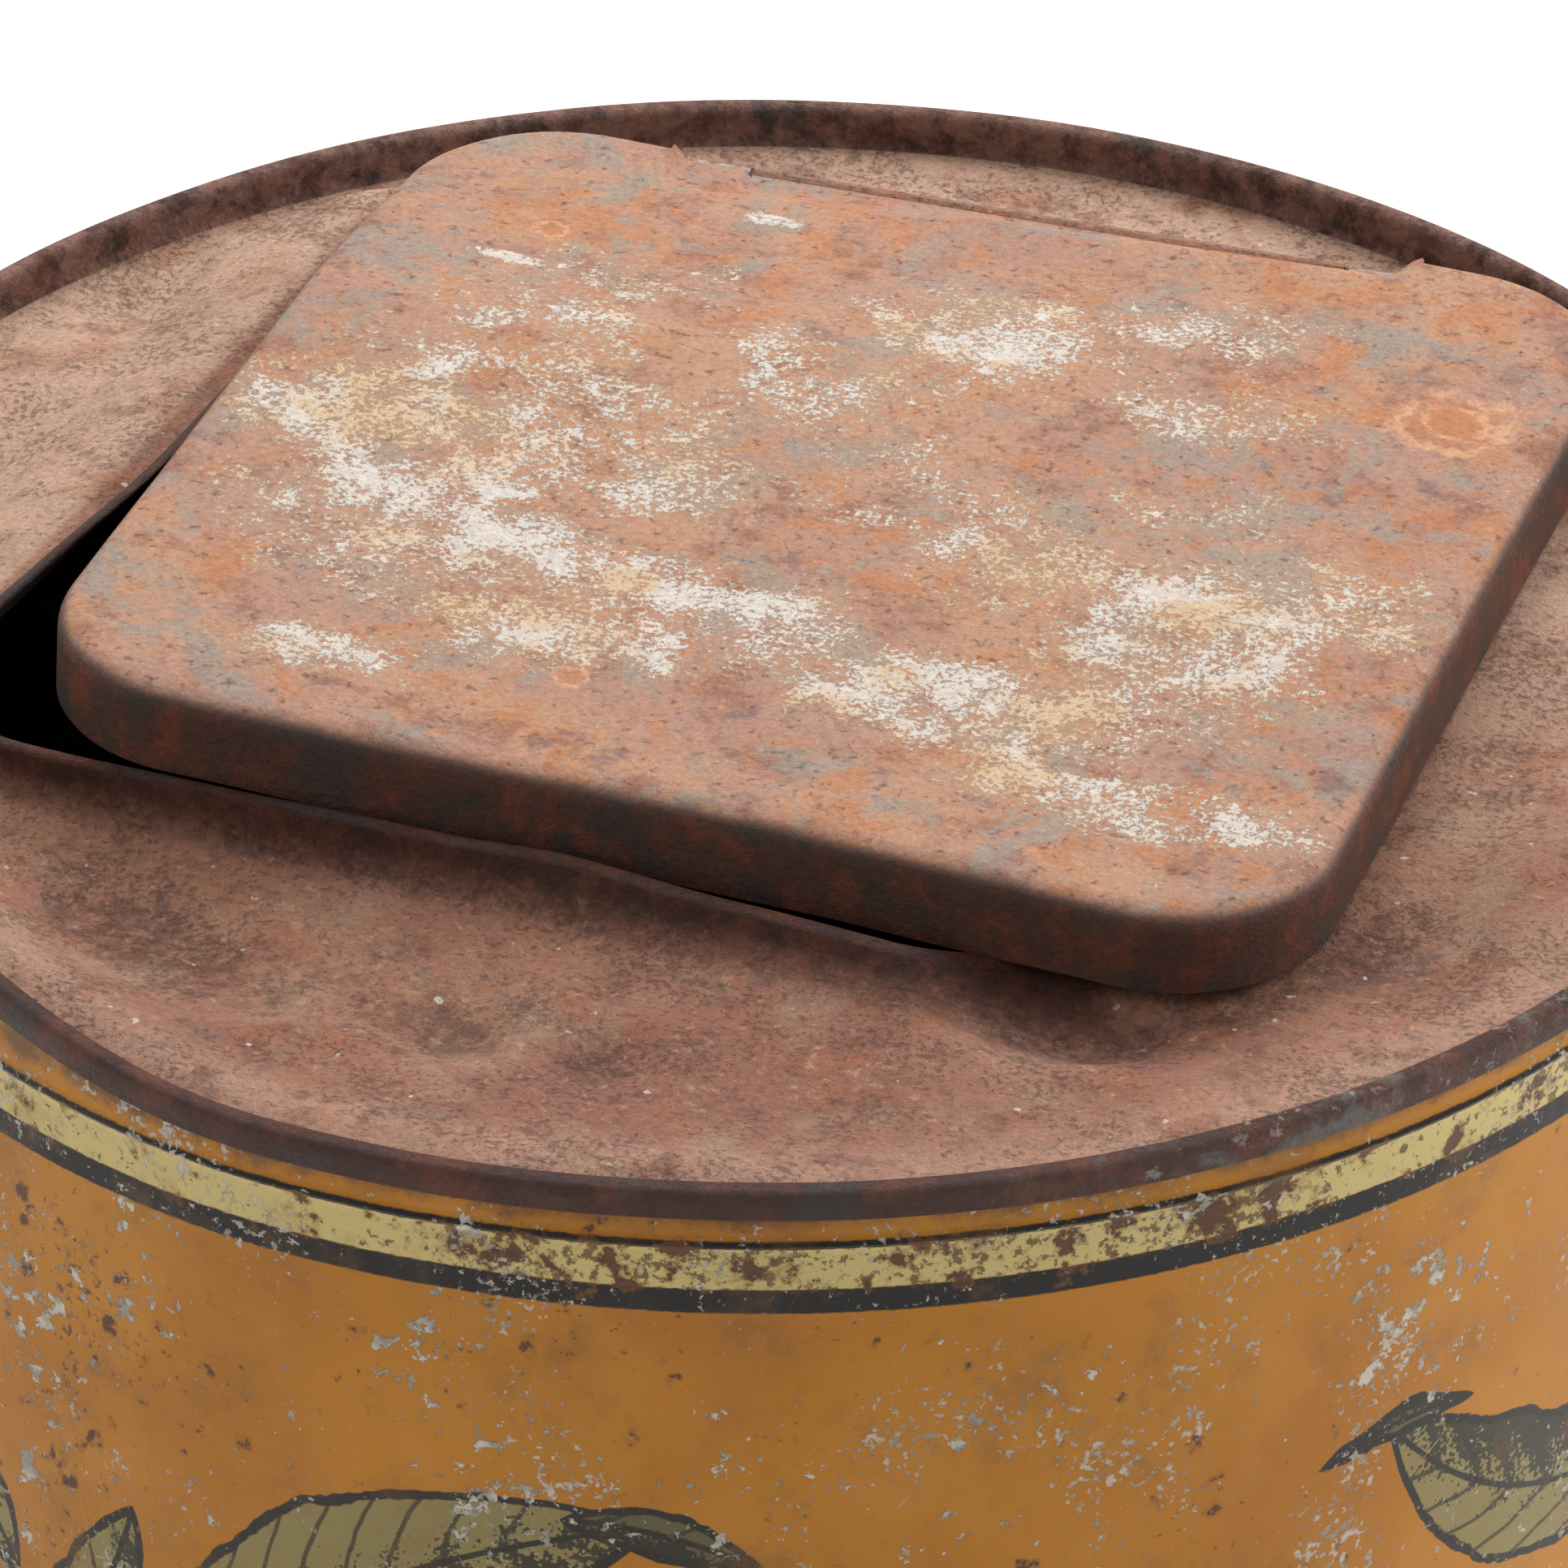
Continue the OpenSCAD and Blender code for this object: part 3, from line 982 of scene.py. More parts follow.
        edge = s.sum("SUBTRACT", s.sum("SUBTRACT", side, s.sum("MULTIPLY", belly, leaf.width / 2)), -0.7)
        wavy = s.sum("MULTIPLY", s.sum("SUBTRACT", s.cloud(7, leaf.width, 3, 0.6), 0.5), hump, 3.5)
        edge = s.sum("ADD", edge, wavy)
        shade = s.sum("ADD", s.sum("MULTIPLY", across, 0.9 / leaf.width), stipple)
        light, deep = ("#5F583D", "#2F2E24") if leaf.dark else ("#897B4B", "#3A3828")
        swept = s.sum("MULTIPLY", s.sum("POWER", side, 1.2), 0.8)
        strayed = s.sum("MULTIPLY", s.cloud(9, leaf.width + 1.0, 2, 0.5), 3.0)
        rib = s.sum("SUBTRACT", s.sum("MULTIPLY", part, length), swept, strayed)
        rib = s.sum("FRACT", s.sum("MULTIPLY", rib, 1 / RIB_SPACING), 0.0)
        rib = s.sum("ABSOLUTE", s.sum("SUBTRACT", rib, 0.5), 0.0)
        near_rib = s.sum("MULTIPLY", s.sum("SUBTRACT", 0.3, rib), 0.5)
        body = s.coat(deep, light, s.step(s.sum("SUBTRACT", shade, near_rib), 0.40, 0.47))
        body = s.coat(body, "#3A3226", s.sum("MULTIPLY", s.step(rib, 0.075, 0.045), 0.85))
        body = s.coat(body, "#2E2A22", s.step(side, 0.42, 0.25))
        printed = s.coat(under, body, s.step(edge, 0.15, -0.1))
        rim = s.sum("ABSOLUTE", edge, 0.0)
        return s.coat(printed, "#2B2823", s.step(rim, 0.62, 0.42))


PRINTED_LINES = ((-7.2, -8.1, "#221F1B"), (-8.1, -12.65, "#C4B173"), (-12.65, -15.3, "#1F1D1B"))
"""Top, bottom and colour of the lines printed round the wall, in millimetres below the crest."""

RIB_SPACING = 6.2
"""How far apart a leaf's side veins are, in millimetres."""

SCRATCH_DIRECTIONS = ((62, 71.0), (-38, 72.3), (105, 73.6), (18, 74.9))
"""Lean of each set of scratches in degrees, and which set it is."""


@dataclass(frozen=True)
class PlainMetal:
    """Bare or soldered metal gone dull: small parts, the inside of the wall.

    Attributes:
        name: What it is.
        dark: Its darker colour.
        light: Its lighter colour.
        rust: The colour of its rust.
        size: How large its mottling is, in millimetres.
        rough: Its roughness.
        metal: How much of it is bare metal.
    """

    name: str
    dark: str
    light: str
    rust: str
    size: float
    rough: float
    metal: float

    def material(self) -> bpy.types.Material:
        """Mix the material.

        Returns:
            The material.
        """
        s = Surface(self.name)
        grain = s.cloud(self.size / 6, 81.0, 4, 0.65)
        base = s.coat(self.dark, self.light, s.step(s.cloud(self.size, 82.0, 5, 0.65), 0.42, 0.60))
        rusty = s.step(s.cloud(self.size * 1.6, 83.0, 6, 0.7), 0.48, 0.60)
        colour = s.coat(base, self.rust, rusty)
        metal = s.sum("MULTIPLY", s.sum("SUBTRACT", 1.0, rusty), self.metal)
        rough = s.sum("ADD", s.sum("MULTIPLY", rusty, 0.25), self.rough)
        return s.finish(colour, rough, grain, self.size / 60, metal)


# ---------------------------------------------------------------- the tin's pieces


@dataclass(frozen=True)
class Seam:
    """A double seam: the end's edge folded over the wall's, seen from outside as a plain band.

    Attributes:
        radius: The band's outer radius.
        inner: The radius of the chuck wall inside it.
        height: How far the band comes down from the crest.
        sink: How deep the panel lies below the crest.
        bend: The radius between chuck wall and panel.
    """

    radius: float
    inner: float
    height: float = 4.1 * MM
    sink: float = 4.2 * MM
    bend: float = 1.2 * MM

    def section(self, crest: float, side: int) -> list[tuple[float, float]]:
        """Return the seam's section from under the band, over the crest, to the panel.

        Args:
            crest: The height of the crest.
            side: 1 for the top end, -1 for the bottom end.

        Returns:
            Radius and height of each ring.
        """
        top = (self.radius - self.inner) / 2
        middle_r = self.inner + top
        hem = 0.45 * MM
        behind = self.radius - 2.1 * hem
        points = [(behind, -self.height + 1.6 * MM), (behind, -self.height + hem)]
        points += [(self.radius - hem + x, hem - self.height + y) for x, y in arc(hem, 180, 360, 6)]
        points += [(self.radius + 0.05 * MM, -self.height / 2), (self.radius, -top)]
        points += [(middle_r + x, y - top) for x, y in arc(top, 0, 180, 8)]
        points += [(self.inner, -self.sink + self.bend * 1.3), (self.inner, -self.sink + self.bend)]
        turned = arc(self.bend, 0, -90, 5)
        points += [(self.inner - self.bend + x, y - self.sink + self.bend) for x, y in turned]
        return [(r, crest + side * z) for r, z in points]


@dataclass(frozen=True)
class RimDent:
    """The knock at the front left that tipped the top seam up and in.

    Attributes:
        start: Where it starts, in degrees from the front towards the right.
        peak: Where it is strongest.
        stop: Where it ends.
        lift: How far the seam rises.
        push: How far the seam is pushed in.
    """

    start: float = -7.0
    peak: float = -41.0
    stop: float = -82.0
    lift: float = 3.3 * MM
    push: float = 3.7 * MM

    def weight(self, point: Vector) -> float:
        """Return how strongly the knock acts at a point's bearing, from 0 to 1."""
        bearing = math.degrees(math.atan2(point.x, -point.y))
        return smooth(bearing, self.start, self.peak) * smooth(bearing, self.stop, self.peak - 10)

    @staticmethod
    def settle(point: Vector, crest: float) -> float:
        """Work out how far the seam has been beaten down: flat in front, proud behind.

        Args:
            point: A point of the seam or of the wall in it.
            crest: The height of the seam's crest.

        Returns:
            How much lower the point lies now.
        """
        bearing = math.degrees(math.atan2(point.x, -point.y))
        tall = max((point.z - crest) / (5.6 * MM) + 1, 0)
        squash = 0.8 * smooth(bearing, -42, -14) * smooth(bearing, 125, 80)
        proud = 0.9 * smooth(abs(bearing), 95, 150)
        proud += 0.7 * smooth(bearing, 100, 130) * smooth(bearing, 165, 140)
        return (squash - proud) * MM * tall

    def press(self, point: Vector, strength: float, rise: float) -> Vector:
        """Push a point in and lift it.

        Args:
            point: The point.
            strength: How much of the push it takes.
            rise: How much of the lift it takes.

        Returns:
            The moved point.
        """
        weight = self.weight(point)
        flat = Vector((point.x, point.y, 0))
        shifted = point - flat.normalized() * (self.push * strength * weight)
        shifted.z += self.lift * rise * weight
        return shifted


RIM_DENT = RimDent()

PANEL_DENTS = (
    Dent((-5, -77), 8, 1.7, 1.1, 10),
    Dent((10, -77), 8, 1.8, 1.1, 0),
    Dent((-23, -79), 6, 1.0),
    Dent((-41, -70), 15, 2.4, 1.7, -35),
    Dent((-14, -72), 11, 1.3, 3.0, -12),
    Dent((2, -70), 6, -0.8, 1.6, 60),
    Dent((24, -78), 10, 0.9, 1.8, 10),
    Dent((48, -57), 9, 3.4, 1.6, 12),
    Dent((60, -54), 12, 1.6, 1.3, 40),
    Dent((74, -36), 13, 1.9, 1.7, 60),
    Dent((86, -20), 10, -1.3, 2.0, 75),
    Dent((80, 10), 12, 1.3, 1.5, 95),
    Dent((62, -68), 7, -0.8, 1.8, 45),
    Dent((-88, 2), 12, 1.4, 1.8, 95),
    Dent((-86, 28), 9, -1.0, 1.6, 115),
    Dent((-82, 44), 8, 0.9, 1.5, 125),
    Dent((-78, 56), 4.5, -0.9),
    Dent((-78, 56), 1.8, 1.2),
    Dent((0, 92), 9, 0.7, 3.0, 0),
    Dent((60, 74), 9, 0.8, 2.0, -40),
    Dent((86, 34), 9, -0.7, 1.8, 110),
)
"""Hollows and swellings of the top's panel, in the tin's own x and y."""

CRUSHED = (Dent((51.8, -51.3), 9, 1.0), Dent((-59, 76), 15, 1.0))
"""Where the leaning lid has crushed the collar's lip."""


@dataclass(frozen=True)
class TopEnd:
    """The rusted top: double seam, dented panel and the raised collar round the square mouth.

    Attributes:
        crest: The height of the seam's crest.
        seam: The double seam.
        mouth: The middle of the collar.
        turn: How far the collar is turned, in degrees.
        collar: The collar's width across the flats.
        corner: The radius of its corners.
        rise: The height of its lip over the panel.
        hem: The width of its rolled hem.
        foot: The radius between its wall and the panel.
    """

    crest: float
    seam: Seam
    mouth: tuple[float, float] = (-6 * MM, 7.5 * MM)
    turn: float = -4.7
    collar: float = 127.556 * MM
    corner: float = 16.3 * MM
    rise: float = 5.2 * MM
    hem: float = 1.4 * MM
    foot: float = 2.4 * MM

    def build(self) -> Piece:
        """Turn the seam, press the collar, bridge them with the panel and dent it all.

        Returns:
            The finished sheet.
        """
        piece = turn_rings("top_end_rusted", self.seam.section(self.crest, 1))
        collar = self.press_collar()
        put_on_bench(piece)
        collar.select_set(True)
        bpy.ops.object.join()
        bpy.ops.object.mode_set(mode="EDIT")
        panel = self.crest - self.seam.sink
        pick(
            Element.EDGE,
            lambda edge: edge.is_boundary and all(abs(v.co.z - panel) < 0.01 * MM for v in edge.verts),
        )
        bpy.ops.mesh.bridge_edge_loops(number_cuts=34, interpolation="LINEAR")
        bpy.ops.object.mode_set(mode="OBJECT")
        true_normals(piece)
        turn_over(piece)
        flat = {vertex.index: vertex.co.z for vertex in piece.data.vertices}
        mark(piece, "rim", self.steel_weight)
        # The collar's wall and foot: dark rust together with painted shade.
        mark(piece, "wall", self.wall_shade_weight)
        # Pale dust together with painted sheen, most at the back and on the left.
        mark(piece, "dust", self.dust_and_sheen_weight)
        mark(piece, "bright", self.bright_weight)
        shape(piece, self.batter)
        # How far each point sank into a dent, by which the finish darkens it: partly dirt, partly painted
        # shade.
        sunk = [
            min(max((flat[v.index] - v.co.z) / (2.2 * MM), 0), 1) * (1 if v.co.xy.length < 100 * MM else 0)
            for v in piece.data.vertices
        ]
        piece.data.attributes.new("hollow", "FLOAT", "POINT").data.foreach_set("value", sunk)
        thicken(piece)
        return piece

    def press_collar(self) -> Piece:
        """Press the collar out of a square plate: foot, wall and hem, and open its middle.

        Returns:
            The collar in its place.
        """
        panel = self.crest - self.seam.sink
        outline = self.collar + 2 * self.foot
        piece = cut_square("collar", outline, self.corner + self.foot, panel)
        foot = [
            (self.foot * math.sin(math.radians(a)), self.foot * (1 - math.cos(math.radians(a))))
            for a in (22, 45, 68, 90)
        ]
        roll = self.hem / 2
        wall_top = self.rise - roll
        wall = [(self.foot, self.foot + (wall_top - self.foot) * part) for part in (0.33, 0.67, 1.0)]
        hem = [
            (self.foot + roll - x, wall_top + y)
            for x, y in [(roll, 0)] + arc(roll, 0, 180, 8)
        ][1:]
        hem += [(self.foot + self.hem, wall_top - 0.5 * MM), (self.foot + self.hem, wall_top - 1.0 * MM)]
        inset_along(foot + wall + hem)
        bpy.ops.mesh.delete(type="FACE")
        bpy.ops.object.mode_set(mode="OBJECT")
        piece.rotation_euler.z = math.radians(self.turn)
        piece.location = (*self.mouth, 0)
        bpy.ops.object.transform_apply(location=True, rotation=True)
        return piece

    def to_collar(self, point: Vector) -> Vector:
        """Bring a point into the collar's own frame.

        Args:
            point: A point in the tin's frame.

        Returns:
            Where it lies from the middle of the mouth, along the collar's flats.
        """
        local = Vector((point.x - self.mouth[0], point.y - self.mouth[1]))
        local.rotate(Matrix.Rotation(math.radians(-self.turn), 2))
        return local

    def outside(self, point: Vector) -> float:
        """Measure how far a point lies outside the collar's wall.

        Args:
            point: A point in the tin's frame.

        Returns:
            The distance on the plane of x and y, below zero inside.
        """
        local = self.to_collar(point)
        reach = self.collar / 2 - self.corner
        x, y = abs(local.x) - reach, abs(local.y) - reach
        return math.hypot(max(x, 0), max(y, 0)) + min(max(x, y), 0) - self.corner

    @staticmethod
    def left_weight(local: Vector) -> float:
        """Return 1 along the collar's left side, where the panel swells up to its hem."""
        along = smooth(local.y, -58 * MM, -44 * MM) * smooth(local.y, 68 * MM, 54 * MM)
        return smooth(local.x, -50 * MM, -60 * MM) * along

    def steel_weight(self, point: Vector, normal: Vector) -> float:
        """Weigh a point by how far the rust on it is rubbed down: on the seam and on the hem.

        Args:
            point: The point.
            normal: Its normal, which plays no part.

        Returns:
            The weight.
        """
        seam = smooth(point.xy.length, SEAM_START, SEAM_FULL)
        hem = smooth(point.z, self.crest + 0.1 * MM, self.crest + 0.6 * MM) if seam == 0 else 0
        local = self.to_collar(point)
        tube = smooth(self.outside(point), 0, -0.4 * MM) * self.left_weight(local) * (1 - seam)
        return max(seam, 0.8 * hem, 0.9 * tube)

    def dust_and_sheen_weight(self, point: Vector, normal: Vector) -> float:
        """Weigh a point for pale dust and painted sheen: most at the back and on the left, where the light
        falls, and half as much near the seam.

        Args:
            point: The point.
            normal: Its normal, which plays no part.

        Returns:
            The weight.
        """
        back = smooth(point.y, -30 * MM, 50 * MM)
        left = smooth(point.x, -30 * MM, -70 * MM) * smooth(point.y, -60 * MM, -20 * MM)
        edge = smooth(point.xy.length, 90 * MM, 99 * MM) * 0.5
        return max(back, left, edge) * smooth(self.outside(point), 0, 1.0 * MM)

    def wall_shade_weight(self, point: Vector, normal: Vector) -> float:
        """Weigh a point for the collar's wall and foot, which the finish paints dark with rust and painted
        shade, by how near the wall and its foot it lies.

        Args:
            point: The point.
            normal: Its normal, which plays no part.

        Returns:
            The weight, 0 on hem and panel.
        """
        low = self.crest - self.seam.sink
        away = self.outside(point)
        lip = smooth(point.z, low + self.rise, low + self.rise - 0.6 * MM)
        shade = 0.65 * smooth(away, 4.5 * MM, 0)
        shade += 0.35 * smooth(point.z, low + 0.5 * MM, low + 0.8 * self.rise)
        return shade * lip * (1 - self.left_weight(self.to_collar(point)))

    def bright_weight(self, point: Vector, normal: Vector) -> float:
        """Return where the seam's tin is still bright: most of all at the right."""
        bearing = math.degrees(math.atan2(point.x, -point.y))
        return 0.16 * smooth(bearing, 12, 50) * smooth(bearing, 130, 80) - 0.03

    def batter(self, point: Vector) -> Vector:
        """Move a point of the new pressing to where years of knocks have put it.

        Args:
            point: The point.

        Returns:
            The moved point.
        """
        low = self.crest - self.seam.sink
        radius = point.xy.length
        away = self.outside(point)
        local = self.to_collar(point)
        on_panel = smooth(radius, 101.5 * MM, 96 * MM)
        hinge = smooth(point.y, 62 * MM, 70 * MM) * smooth(abs(point.x), 58 * MM, 50 * MM)
        hinge *= smooth(radius, 96 * MM, 90 * MM)
        height = (point.z - low) / self.rise
        loose = on_panel * (1 - hinge) * (1 - min(max(height, 0), 1))
        sag = hollow(PANEL_DENTS, point)
        sag += 0.7 * MM * wave(point, 24 * MM, 3.1) + 0.22 * MM * wave(point, 8 * MM, 5.3)
        moved = point.copy()
        moved.z -= sag * loose
        bearing = math.degrees(math.atan2(point.x, -point.y))
        edge = smooth(bearing, -75, -50) * smooth(bearing, 45, 10) * smooth(radius, 86 * MM, 100 * MM)
        moved.z += 1.3 * MM * edge * loose
        ramp = self.left_weight(local) * smooth(away, 17 * MM, 0.5 * MM) * smooth(away, -1.5 * MM, 0)
        moved.z += (low + 0.78 * self.rise - moved.z) * ramp * on_panel if height < 0.78 else 0
        heel = smooth(away, 8 * MM, 0) * smooth(local.y, -40 * MM, -55 * MM) * smooth(height, 0.9, 0)
        moved.z += 1.1 * MM * heel * on_panel
        if height > 0 and away < 4 * MM:
            self.bend_collar(point, moved)
        rim = smooth(radius, 80 * MM, 102 * MM)
        moved = RIM_DENT.press(moved, rim, rim)
        moved.z -= RIM_DENT.settle(point, self.crest) * smooth(radius, 98 * MM, 101 * MM)
        ripple = smooth(radius, 99 * MM, 103 * MM)
        moved.z += 0.12 * MM * wave(point, 22 * MM, 9.9) * ripple
        return moved

    def bend_collar(self, point: Vector, moved: Vector) -> None:
        """Bend the collar: down and in under the lid in front, over on the left, flat where crushed.

        Args:
            point: The point as it was pressed.
            moved: Where it lies so far, which is changed.
        """
        low = self.crest - self.seam.sink
        local = self.to_collar(point)
        height = (point.z - low) / self.rise
        upper = min(height, 1)
        front = smooth(local.y, -50 * MM, -58 * MM) * height
        under = smooth(local.x, 44 * MM, 56 * MM)
        sink = 0.5 * smooth(local.x, 12 * MM, 34 * MM) + 1.1 * smooth(local.x, 30 * MM, 52 * MM)
        sink += 3.5 * under
        moved.z += (0.5 - sink) * MM * front
        tight = 1.2 * smooth(local.x, -2 * MM, 12 * MM)
        moved.y += (0.9 * smooth(local.x, -50 * MM, 0) + tight + 7.5 * under) * MM * front
        flat = Vector((local.x, local.y, 0))
        moved.z += 0.35 * MM * wave(flat, 17 * MM, 4.1) * upper
        crush = max(dent.weight(point) for dent in CRUSHED)
        moved.z -= max(moved.z - low, 0) * 0.85 * min(crush * 1.5, 1) * smooth(self.outside(point), 3 * MM, 0)
        moved.x += 3.2 * MM * self.left_weight(local) * smooth(local.y, -50 * MM, -8 * MM) * upper
        bow = wave(flat, 26 * MM, 7.7) * 0.6 * MM * upper
        moved.y += bow * smooth(abs(local.y), 50 * MM, 60 * MM)
        moved.x += bow * smooth(abs(local.x), 50 * MM, 60 * MM)


@dataclass(frozen=True)
class BodyWall:
    """The printed wall: a rolled and side-seamed cylinder with a bead under each seam.

    Attributes:
        radius: The wall's outer radius.
        crest: The height of the top seam's crest.
        seam: The seam at each end, which hides the wall's edges.
        bead_drop: How far the middle of a bead lies from the crest.
        bead_width: The width of a bead.
        bead_rise: How far a bead stands out.
    """

    radius: float
    crest: float
    # seam: The seam at each end, which hides the wall's edges; not used.
    seam: Seam
    bead_drop: float = 7.7 * MM
    bead_width: float = 1.6 * MM
    bead_rise: float = 0.35 * MM

    def section(self) -> list[tuple[float, float]]:
        """List the wall's rings from the top down to the bottom.

        Returns:
            Radius and height of each.
        """
        start, step = 1.6 * MM, self.bead_width / 4
        drops = [start, 3.2 * MM, 4.6 * MM, 6.0 * MM]
        drops += [self.bead_drop + step * index for index in range(-3, 4)]
        drops += [10 * MM + 3.4 * MM * index for index in range(18)]
        half = [(self.radius + self.swell(drop), drop) for drop in drops]
        upper = [(r, self.crest - drop) for r, drop in half]
        centre = [(self.radius, self.crest - drop * MM) for drop in range(76, int(self.crest / MM) - 72, 8)]
        return upper + centre + [(r, drop) for r, drop in reversed(half)]

    def swell(self, drop: float) -> float:
        """Return how far the bead stands out at a distance from the crest."""
        off = abs(drop - self.bead_drop) / (self.bead_width / 2)
        return self.bead_rise * (1 + math.cos(math.pi * min(off, 1))) / 2

    def batter(self, point: Vector) -> Vector:
        """Move a point to where knocks and handling have put it.

        Args:
            point: The point.

        Returns:
            The moved point.
        """
        drop = self.crest - point.z
        strength = 0.62 * smooth(drop, 38 * MM, 3 * MM)
        moved = RIM_DENT.press(point, strength, 0.0)
        moved.z -= RIM_DENT.settle(point, self.crest)
        free = smooth(drop, 8 * MM, 30 * MM) * smooth(drop, self.crest - 8 * MM, self.crest - 30 * MM)
        ripple = 0.5 * MM * wave(point, 60 * MM, 12.3) + 0.12 * MM * wave(point, 18 * MM, 14.1)
        return moved - Vector((point.x, point.y, 0)).normalized() * (abs(ripple) * free)

    def build(self) -> Piece:
        """Turn the wall, dent it and give it the sheet's thickness.

        Returns:
            The finished wall, with a slot for each side's finish.
        """
        piece = turn_rings("body_wall_printed", self.section())
        bpy.ops.object.mode_set(mode="OBJECT")
        true_normals(piece)
        shape(piece, self.batter)
        thicken(piece, lined=True)
        return piece


@dataclass(frozen=True)
class BottomEnd:
    """The rusted bottom: the same seam upside down round a shallow stamped panel.

    Attributes:
        seam: The double seam.
    """

    seam: Seam

    def build(self) -> Piece:
        """Turn the seam and panel, close the middle and dent the panel.

        Returns:
            The finished sheet.
        """
        section = self.seam.section(0.0, -1)
        radius, height = section[-1]
        section += [(radius * part, height) for part in (0.97, 0.94)]
        section += [(radius * (0.92 - 0.06 * index), height + 0.5 * MM) for index in range(15)]
        piece = turn_rings("bottom_end_rusted", section)
        bpy.ops.mesh.merge(type="COLLAPSE")
        bpy.ops.object.mode_set(mode="OBJECT")
        true_normals(piece)
        turn_over(piece, up=False)
        for name in ("wall", "bright", "hollow", "dust"):
            mark(piece, name, lambda point, normal: 0.0)
        mark(piece, "rim", lambda point, normal: smooth(point.xy.length, SEAM_START, SEAM_FULL))
        shape(piece, self.batter)
        thicken(piece)
        return piece

    @staticmethod
    def batter(point: Vector) -> Vector:
        """Move a point of the panel to where handling has put it."""
        free = smooth(point.xy.length, 99 * MM, 88 * MM)
        return point + Vector((0, 0, 0.5 * MM * wave(point, 34 * MM, 21.0) * free))


LID_DENTS = (
    Dent((-40, 29), 14, 0.9, 2.4, 12),
    Dent((10, 50), 16, 0.9, 2.2, 0),
    Dent((-20, -20), 30, 0.5, 1.4, 30),
    Dent((30, -10), 26, -0.45, 1.4, -20),
    Dent((-10, 10), 18, -0.4, 1.5, 60),
)
"""Hollows and swellings of the lid's plate, from its middle."""


